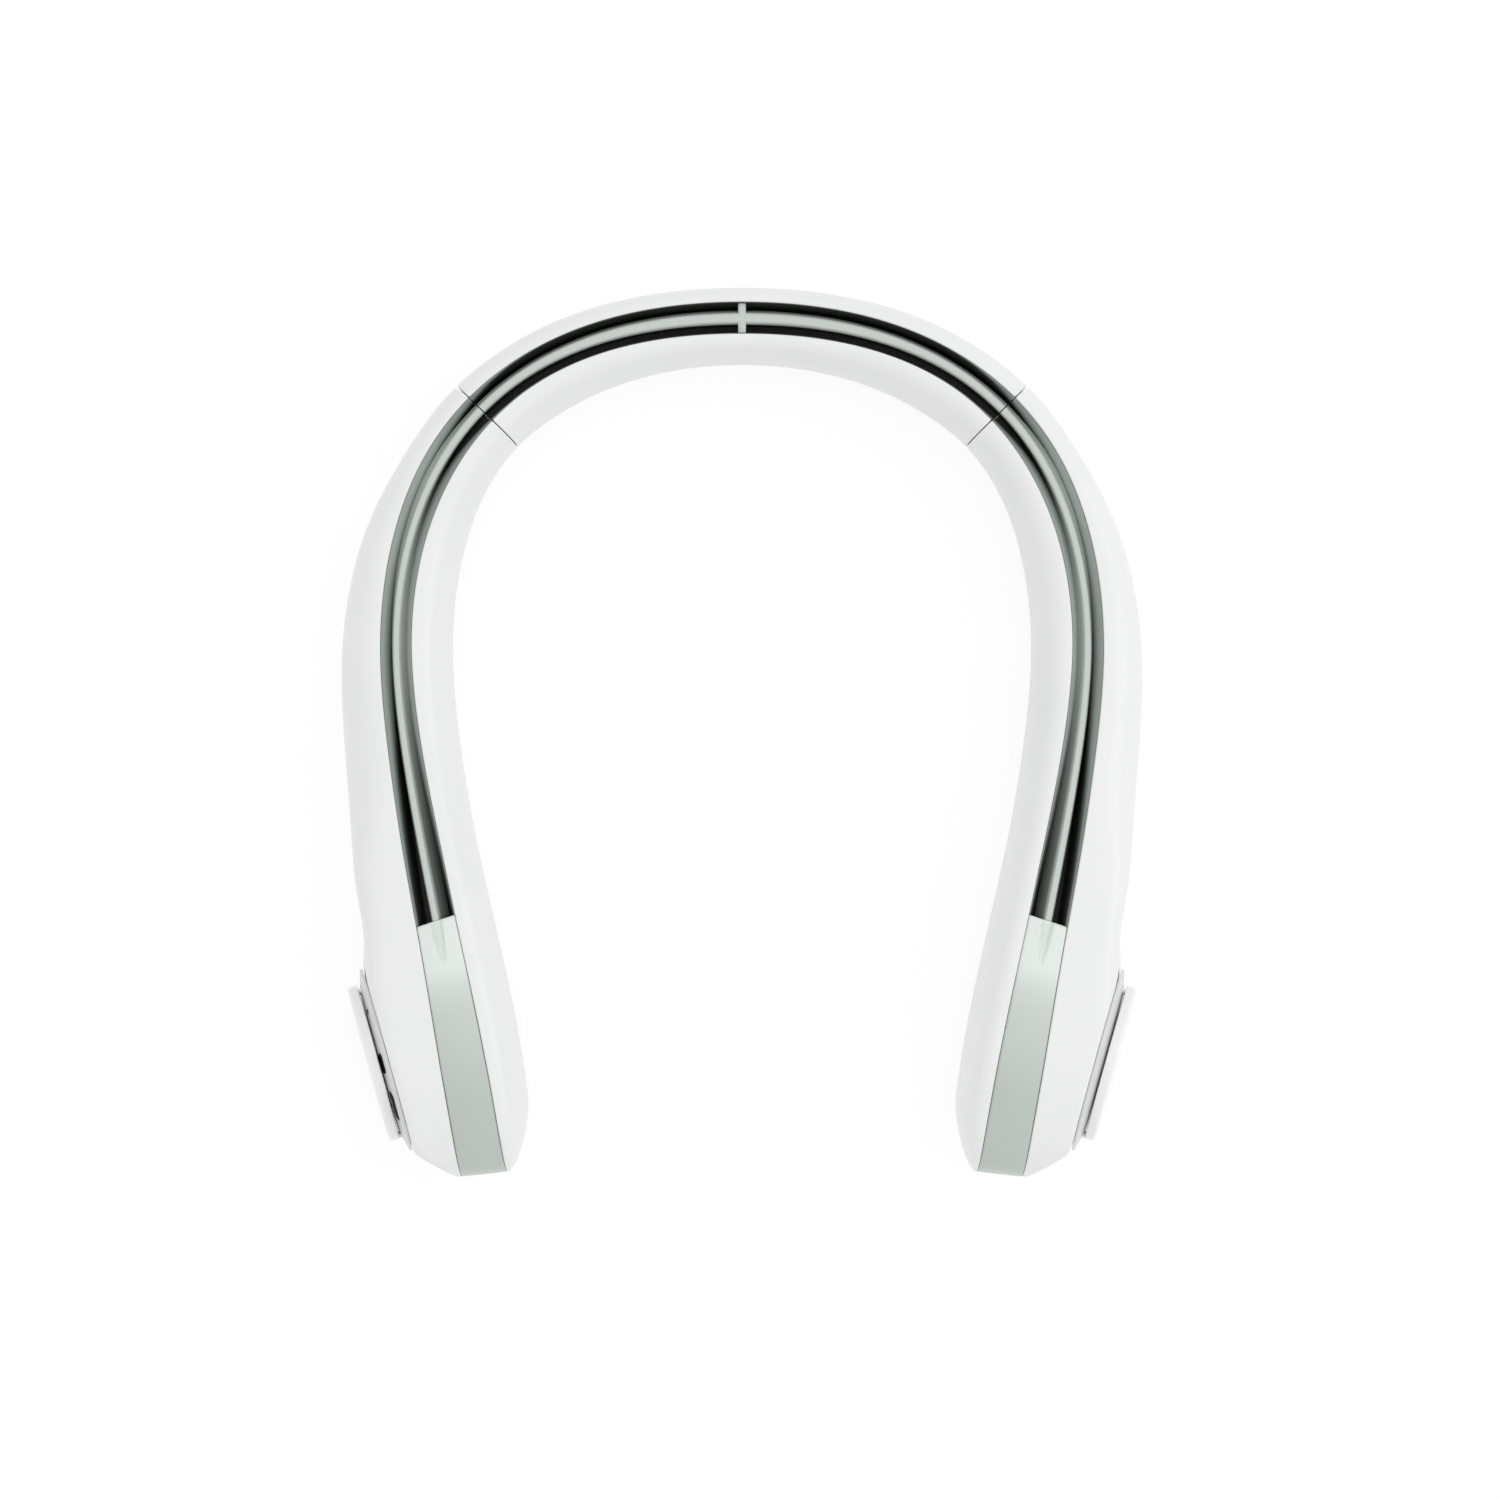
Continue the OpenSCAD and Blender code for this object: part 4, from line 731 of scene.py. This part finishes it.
def intakeRing(name, left):
    c, k = ringLook, controlLook
    lining = c["plug"] - c["wall"]
    outline = [(c["radius"], c["low"], c["lowEdge"]), (c["radius"], c["step"], c["edge"]),
               (c["mouth"], c["rise"], c["mouthEdge"]), *reversed(flareRow(0)[:-1]), *flareRow(c["wall"]),
               (lining, -c["wall"], 0), (lining, -c["depth"], c["plugEdge"]),
               (c["plug"], -c["depth"], c["plugEdge"]), (c["plug"], c["low"], 0)]
    piece = turned(name, softened(outline), faceMatrix(left), c["steps"])
    hole = c["postRadius"] + c["postPlay"]
    cutters = [drill("postCutter", hole, atRing(left, a, c["postReach"]), c["postCut"]) for a in c["postTurns"]]
    if left:
        gaps = 2 * k["gap"]
        for angle, (length, width), more in ((k["portTurn"], k["port"], 2 * k["portShell"] + gaps),
                                             (k["buttonTurn"], k["button"], gaps)):
            cutters.append(block("controlCutter", stadium(length + more, width + more),
                                 atRing(left, angle, k["radius"]), k["cut"]))
        m = atRing(left, k["lensTurn"], k["radius"])
        cutters.append(drill("lensCutter", k["lens"] + k["lensPlay"], m, k["cut"]))
    cutAway(piece, cutters)
    return piece


def fanCover(name, left):
    c, top = coverLook, coverLook["standoff"] + coverLook["thickness"]
    low, flat = top - c["rim"], c["radius"] - c["topEdge"]
    outline = softened([(0, c["standoff"], 0), (c["flat"], c["standoff"], c["flatEdge"]),
                        (c["radius"], low, c["lowEdge"]), (c["radius"], top, c["topEdge"]), (0, top, 0)],
                       c["edgeSteps"])[:-1]
    for i in range(1, c["domeSteps"] + 1):
        k = 1 - i / c["domeSteps"]
        outline.append((flat * k, top + c["dome"] * (1 - k * k)))
    parts = [turned(name, outline, faceMatrix(left), ringLook["steps"])]
    r, f, inside = ringLook["postRadius"], c["fillet"], low + c["postIn"]
    post = softened([(0, c["postLow"], 0), (r, c["postLow"], c["postEdge"]), (r, low - f, c["filletEdge"]),
                     (r + f, inside, 0), (0, inside, 0)])
    parts += [turned("post", post, atRing(left, a, ringLook["postReach"]), ringLook["holeSteps"])
              for a in ringLook["postTurns"]]
    return joined(name, parts)


def powerButton(name):
    k = controlLook
    return peg(name, lambda inset: stadium(*k["button"], inset), atRing(True, k["buttonTurn"], k["radius"]),
               k["buttonLow"], -k["proud"], k["edge"], k["dish"])


def chargePort(name):
    k, m = controlLook, atRing(True, controlLook["portTurn"], controlLook["radius"])
    length, width = k["port"]
    grow, low = 2 * k["portShell"], ringLook["rise"] - k["portDepth"]
    tube = peg(name, lambda inset: stadium(length + grow, width + grow, inset), m, k["low"], k["gap"],
               k["portEdge"])
    cutAway(tube, [block("portCutter", stadium(length, width), m, (low, k["cut"][1]))])
    across, thick, tall = k["tongue"]
    tip, narrow, short = k["tongueTip"]
    spots = softened([(thick / 2 * i, across / 2 * j, k["tongueEdge"])
                      for i, j in ((-1, -1), (1, -1), (1, 1), (-1, 1))], k["tongueSteps"])
    levels = ((-k["tongueRoot"], 1, 1), (tall - tip, 1, 1), (tall, narrow, short))
    verts, faces = lofted([[m @ Vector((x * a, y * b, low + z)) * scaleMm for x, y in spots]
                           for z, a, b in levels])
    return joined(name, [tube, makePiece("tongue", verts, faces)])


def statusLens(name):
    k = controlLook
    size = 2 * k["lens"]
    return peg(name, lambda inset: stadium(size, size, inset), atRing(True, k["lensTurn"], k["radius"]),
               k["low"], -k["proud"] / 2, k["lensEdge"])


# Materials. The same grain and fine wear are used on every moulded and metal surface
def groupOf(name, inputs, outputs):
    g = bpy.data.node_groups.new(name, "ShaderNodeTree")
    for label, value in inputs:
        g.interface.new_socket(label, in_out="INPUT", socket_type="NodeSocketFloat").default_value = value
    for label in outputs:
        g.interface.new_socket(label, in_out="OUTPUT", socket_type="NodeSocketFloat")
    return g, g.nodes.new("NodeGroupInput"), g.nodes.new("NodeGroupOutput")


def mathNode(tree, operation, a, b, clamp=False):
    n = tree.nodes.new("ShaderNodeMath")
    n.operation, n.use_clamp = operation, clamp
    for i, v in enumerate((a, b)):
        if isinstance(v, (int, float)):
            n.inputs[i].default_value = v
        else:
            tree.links.new(v, n.inputs[i])
    return n.outputs[0]


def noiseNode(tree, scale, detail, rough, vector):
    n = tree.nodes.new("ShaderNodeTexNoise")
    n.inputs["Detail"].default_value = detail
    n.inputs["Roughness"].default_value = rough
    tree.links.new(scale, n.inputs["Scale"])
    tree.links.new(vector, n.inputs["Vector"])
    return n.outputs["Fac"]


# fine spark-eroded grain with a slow unevenness of the moulding
def mouldGrainGroup():
    g, start, end = groupOf("mouldGrain", [("Grain size", 2600), ("Sink size", 60), ("Sink share", 0.3)],
                            ["Height", "Mottle"])
    spot = g.nodes.new("ShaderNodeTexCoord").outputs["Object"]
    fine = noiseNode(g, start.outputs["Grain size"], 3, 0.6, spot)
    slow = noiseNode(g, start.outputs["Sink size"], 2, 0.4, spot)
    height = mathNode(g, "ADD", fine, mathNode(g, "MULTIPLY", slow, start.outputs["Sink share"]))
    g.links.new(height, end.inputs["Height"])
    g.links.new(slow, end.inputs["Mottle"])
    return g


wearLook = {"stretch": (1.0, 0.06, 0.35), "turn": (0.2, 0.1, 0.6), "patchFrom": 0.48, "hairFrom": 0.62}


# faint rubbed patches and hairlines of handling
def fineWearGroup():
    g, start, end = groupOf("fineWear", [("Patch size", 45), ("Hair size", 900), ("Amount", 0.5)],
                            ["Rubbed", "Hairs"])
    coord = g.nodes.new("ShaderNodeTexCoord").outputs["Object"]
    stretch = g.nodes.new("ShaderNodeMapping")
    stretch.inputs["Scale"].default_value = wearLook["stretch"]
    stretch.inputs["Rotation"].default_value = wearLook["turn"]
    g.links.new(coord, stretch.inputs["Vector"])
    patch = noiseNode(g, start.outputs["Patch size"], 4, 0.55, coord)
    hair = noiseNode(g, start.outputs["Hair size"], 2, 0.5, stretch.outputs["Vector"])
    for noise, limit, label in ((patch, "patchFrom", "Rubbed"), (hair, "hairFrom", "Hairs")):
        over = mathNode(g, "SUBTRACT", noise, wearLook[limit], True)
        g.links.new(mathNode(g, "MULTIPLY", over, start.outputs["Amount"]), end.inputs[label])
    return g


mouldGrain = mouldGrainGroup()
fineWear = fineWearGroup()


# a screen colour as the shader takes it
def linear(c):
    return tuple(v / 12.92 if v <= 0.04045 else ((v + 0.055) / 1.055) ** 2.4 for v in c) + (1,)


def blendNode(tree, a, b, factor):
    n = tree.nodes.new("ShaderNodeMix")
    n.data_type = "RGBA"
    for socketName, v in (("A", a), ("B", b)):
        s = [i for i in n.inputs if i.name == socketName and i.type == "RGBA"][0]
        if isinstance(v, tuple):
            s.default_value = v
        else:
            tree.links.new(v, s)
    tree.links.new(factor, n.inputs["Factor"])
    return [o for o in n.outputs if o.type == "RGBA"][0]


def spanned(tree, value, low, high):
    n = tree.nodes.new("ShaderNodeMapRange")
    n.inputs["From Min"].default_value, n.inputs["From Max"].default_value = 0.0, 1.0
    n.inputs["To Min"].default_value, n.inputs["To Max"].default_value = low, high
    tree.links.new(value, n.inputs["Value"])
    return n.outputs["Result"]


# what a finish is where its own look says nothing else
plainLook = {"grainSize": 2600, "sinkShare": 0.3, "wear": 0.5, "metallic": 0, "specular": 0.5, "bump": 0.25,
             "bumpDepth": 0.00002}


# a moulded or metal surface: colour with slow unevenness, grain in the bump, wear in the roughness
def finish(name, ownLook):
    look = {**plainLook, **ownLook}
    m = bpy.data.materials.new(name)
    m.use_nodes = True
    tree = m.node_tree
    shader = tree.nodes["Principled BSDF"]
    grain = tree.nodes.new("ShaderNodeGroup")
    grain.node_tree = mouldGrain
    grain.inputs["Grain size"].default_value = look["grainSize"]
    grain.inputs["Sink share"].default_value = look["sinkShare"]
    wear = tree.nodes.new("ShaderNodeGroup")
    wear.node_tree = fineWear
    wear.inputs["Amount"].default_value = look["wear"]
    colour = blendNode(tree, linear(look["colour"]), linear(look["shade"]), grain.outputs["Mottle"])
    # the deep colour, led by each corner's share, is painted shade on the slot's liner and fin and a painted
    # highlight on the panel
    if "deep" in look:
        mask = tree.nodes.new("ShaderNodeAttribute")
        mask.attribute_name = "deep"
        colour = blendNode(tree, colour, linear(look["deep"]), mask.outputs["Fac"])
    tree.links.new(colour, shader.inputs["Base Color"])
    worn = mathNode(tree, "ADD", wear.outputs["Rubbed"], wear.outputs["Hairs"])
    low, high = look["roughness"]
    tree.links.new(spanned(tree, worn, low, high), shader.inputs["Roughness"])
    shader.inputs["Metallic"].default_value = look["metallic"]
    shader.inputs["Specular IOR Level"].default_value = look["specular"]
    bump = tree.nodes.new("ShaderNodeBump")
    bump.inputs["Strength"].default_value = look["bump"]
    bump.inputs["Distance"].default_value = look["bumpDepth"]
    tree.links.new(grain.outputs["Height"], bump.inputs["Height"])
    tree.links.new(bump.outputs["Normal"], shader.inputs["Normal"])
    return m


looks = {
    "shellWhite": {"colour": (0.945, 0.945, 0.945), "shade": (0.925, 0.927, 0.928), "roughness": (0.34, 0.55)},
    "coverWhite": {"colour": (0.96, 0.96, 0.96), "shade": (0.945, 0.947, 0.948), "roughness": (0.2, 0.34),
                   "bump": 0.1},
    # the ring's white is darker than the shell's: painted shade of its band between the disc and the shell
    "ringWhitePaintedShade": {"colour": (0.875, 0.877, 0.877), "shade": (0.855, 0.857, 0.858),
                  "roughness": (0.34, 0.55)},
    "sagePlastic": {"colour": (0.745, 0.78, 0.75), "shade": (0.73, 0.765, 0.735), "roughness": (0.27, 0.45),
                    "grainSize": 3400, "bump": 0.15},
    # the panel's paler deep colour is a painted highlight on its upper end
    "sagePanelPaintedHighlight": {"colour": (0.745, 0.78, 0.75), "shade": (0.73, 0.765, 0.735), "deep": (0.895, 0.92, 0.90),
                  "roughness": (0.27, 0.45), "grainSize": 3400, "bump": 0.15},
    # the liner's deep colour is painted shade down in the slot
    "sageLinerPaintedShade": {"colour": (0.71, 0.745, 0.715), "shade": (0.68, 0.72, 0.69), "deep": (0.19, 0.20, 0.19),
                  "roughness": (0.4, 0.6)},
    # the fin's deep colour is painted shade on its flanks and web
    "sageFinPaintedShade": {"colour": (0.79, 0.815, 0.80), "shade": (0.775, 0.80, 0.785), "deep": (0.19, 0.20, 0.19),
                "roughness": (0.3, 0.5)},
    "darkPlastic": {"colour": (0.10, 0.10, 0.105), "shade": (0.08, 0.08, 0.085), "roughness": (0.4, 0.6)},
    "buttonBlack": {"colour": (0.03, 0.03, 0.032), "shade": (0.02, 0.02, 0.02), "roughness": (0.55, 0.7),
                    "specular": 0.08},
    "steel": {"colour": (0.76, 0.76, 0.77), "shade": (0.70, 0.70, 0.72), "roughness": (0.22, 0.5),
              "metallic": 1, "grainSize": 1800, "wear": 0.9},
    "boardGreen": {"colour": (0.08, 0.30, 0.17), "shade": (0.06, 0.25, 0.14), "roughness": (0.3, 0.5)},
    "batteryWrap": {"colour": (0.16, 0.20, 0.30), "shade": (0.13, 0.17, 0.26), "roughness": (0.25, 0.5)},
    "wireSkin": {"colour": (0.09, 0.09, 0.10), "shade": (0.07, 0.07, 0.08), "roughness": (0.45, 0.6)},
    "smokedLens": {"colour": (0.09, 0.09, 0.10), "shade": (0.07, 0.07, 0.08), "roughness": (0.4, 0.5),
                   "bump": 0.05, "specular": 0.1},
    "darkSteel": {"colour": (0.24, 0.24, 0.25), "shade": (0.20, 0.20, 0.21), "roughness": (0.35, 0.55),
                  "metallic": 1, "grainSize": 1800},
}
materials = {name: finish(name, look) for name, look in looks.items()}
print("materials made")

# Which finish each of the CAD's own pieces takes where it stays, by the end of its name
nodeFinishes = (
    ("volute", "darkPlastic"), ("impeller", "sagePlastic"), ("impeller_shaft", "steel"), ("motor", "steel"),
    ("battery", "batteryWrap"), ("screws", "steel"), ("lead", "wireSkin"), ("hinge_leaf_neck", "steel"),
    ("hinge_leaf_arm", "steel"), ("hinge_pin", "steel"), ("hinge_sleeve", "darkPlastic"),
    ("control_board", "boardGreen"),
)
for name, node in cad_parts.items():
    for ending, look in nodeFinishes:
        if name.endswith(ending):
            node.data.materials.clear()
            node.data.materials.append(materials[look])


def dressed(piece, node, bodyName, look):
    piece.data.materials.clear()
    piece.data.materials.append(materials[look])
    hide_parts(node)
    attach(piece, bodyName)


# The neck section
for side, word in ((1, "outer"), (-1, "inner")):
    verts, faces = neckShell(side)
    piece = makePiece("neck" + word.capitalize() + "Shell", verts, faces)
    if side > 0:
        cutAway(piece, [screwCutter(k * screwSeat["neckShare"] * body["hingeRun"]) for k in (-1, 1)])
    dressed(piece, "neck_" + word + "_shell", "neck", "shellWhite")
neckRuns = spread(-neckEnd, neckEnd, shell["runStep"])
dressed(duct("neckAirLiner", neckRuns, False), "neck_air_duct", "neck", "sageLinerPaintedShade")
dressed(fin("neckGuideFin", neckRuns, False, bar=True), "neck_guide_fin", "neck", "sageFinPaintedShade")
print("neck section made")

# The arms
screwRuns = [mixed(body["hingeRun"], body["panelRun"], k) for k in screwSeat["armShares"]]
linerRuns = spread(armStart, ductStepEnd, shell["runStep"]) + [ductStepEnd + ductLook["stepRun"], ductEnd]
finRuns = spread(armStart, panelStart - finLook["endGap"], shell["runStep"])
for left in (False, True):
    mark, arm = ("left", "left_arm") if left else ("right", "right_arm")
    for side, word in ((1, "outer"), (-1, "inner")):
        verts, faces = armShell(side)
        piece = makePiece(mark + word.capitalize() + "Shell", mirrored(verts, left), faces)
        if side > 0:
            cutAway(piece, [socketCutter(left)] + [screwCutter(-s if left else s) for s in screwRuns])
        dressed(piece, mark + "_" + word + "_shell", arm, "shellWhite")
    for piece, node, slotName, look in (
            (intakeRing(mark + "IntakeRing", left), "_intake_ring", "shell_white", "ringWhitePaintedShade"),
            (fanCover(mark + "FanCover", left), "_fan_cover", "shell_white", "coverWhite"),
            (panel(mark + "TopPanel", left), "_top_panel", "sage", "sagePanelPaintedHighlight"),
            (duct(mark + "AirLiner", linerRuns, left), "_air_duct", "sage", "sageLinerPaintedShade"),
            (fin(mark + "GuideFin", finRuns, left), "_guide_fin", "sage", "sageFinPaintedShade")):
        dressed(piece, mark + node, arm, look)
dressed(chargePort("chargePort"), "left_charge_port", "left_arm", "darkSteel")
dressed(powerButton("powerButton"), "left_power_button", "button", "buttonBlack")
dressed(statusLens("statusLens"), "left_status_lens", "left_arm", "smokedLens")
print("arms made")

# Camera, light and floor
shot = {"height": 1.0, "middleY": -0.0053, "lens": 90.6, "sensor": 36, "shiftX": 0.00533, "clip": (0.05, 20)}
cam = bpy.data.objects.new("camera", bpy.data.cameras.new("camera"))
cam.location = (0, shot["middleY"], shot["height"])
cam.data.lens, cam.data.sensor_width, cam.data.shift_x = shot["lens"], shot["sensor"], shot["shiftX"]
cam.data.clip_start, cam.data.clip_end = shot["clip"]
bpy.context.scene.collection.objects.link(cam)
bpy.context.scene.camera = cam

# a wide soft lamp overhead and a lower one from the right
lampLooks = (
    {"name": "overheadLight", "size": 1.6, "power": 2.8, "spot": (0.3, 0.3, 1.65)},
    {"name": "sideLight", "size": 1.1, "power": 3.8, "spot": (1.62, 0.3, 0.85)},
)
for look in lampLooks:
    lamp = bpy.data.objects.new(look["name"], bpy.data.lights.new(look["name"], "AREA"))
    lamp.data.shape, lamp.data.size, lamp.data.energy = "SQUARE", look["size"], look["power"]
    lamp.location = look["spot"]
    lamp.rotation_mode = "QUATERNION"
    lamp.rotation_quaternion = (-Vector(look["spot"])).to_track_quat("-Z", "Y")
    bpy.context.scene.collection.objects.link(lamp)

world = bpy.data.worlds.new("studio")
bpy.context.scene.world = world
world.use_nodes = True
tree = world.node_tree
tree.nodes.clear()
path = tree.nodes.new("ShaderNodeLightPath").outputs
seen = mathNode(tree, "MAXIMUM", path["Is Camera Ray"], path["Is Glossy Ray"])
seen = mathNode(tree, "MAXIMUM", seen, path["Is Transmission Ray"])
ambient = {"level": 0.845, "seen": 1.0}
backdrop = tree.nodes.new("ShaderNodeBackground")
tree.links.new(spanned(tree, seen, ambient["level"], ambient["seen"]), backdrop.inputs["Strength"])
backdrop.inputs["Color"].default_value = (1, 1, 1, 1)
out = tree.nodes.new("ShaderNodeOutputWorld")
tree.links.new(backdrop.outputs[0], out.inputs["Surface"])

floorLook = {"size": 3.0, "drop": 0.0002, "paper": 0.9, "shown": 0.22, "glow": 0.81}
floorMesh = bpy.data.meshes.new("floor")
half = floorLook["size"] / 2
corners = [(-half, -half, 0), (half, -half, 0), (half, half, 0), (-half, half, 0)]
floorMesh.from_pydata(corners, [], [(0, 1, 2, 3)])
floor = bpy.data.objects.new("floor", floorMesh)
floor.location.z = -floorLook["drop"]
bpy.context.scene.collection.objects.link(floor)
m = bpy.data.materials.new("paperFloor")
m.use_nodes = True
tree = m.node_tree
tree.nodes.clear()
path = tree.nodes.new("ShaderNodeLightPath").outputs
seen = mathNode(tree, "MAXIMUM", path["Is Camera Ray"], path["Is Glossy Ray"])
plain = tree.nodes.new("ShaderNodeBsdfDiffuse")
tree.links.new(blendNode(tree, (floorLook["paper"],) * 3 + (1,), (floorLook["shown"],) * 3 + (1,), seen),
               plain.inputs["Color"])
glow = tree.nodes.new("ShaderNodeEmission")
tree.links.new(mathNode(tree, "MULTIPLY", seen, floorLook["glow"]), glow.inputs["Strength"])
both = tree.nodes.new("ShaderNodeAddShader")
tree.links.new(plain.outputs[0], both.inputs[0])
tree.links.new(glow.outputs[0], both.inputs[1])
out = tree.nodes.new("ShaderNodeOutputMaterial")
tree.links.new(both.outputs[0], out.inputs["Surface"])
floorMesh.materials.append(m)

bpy.context.scene.view_settings.view_transform = "Standard"
bpy.context.view_layer.update()
print("scene ready")
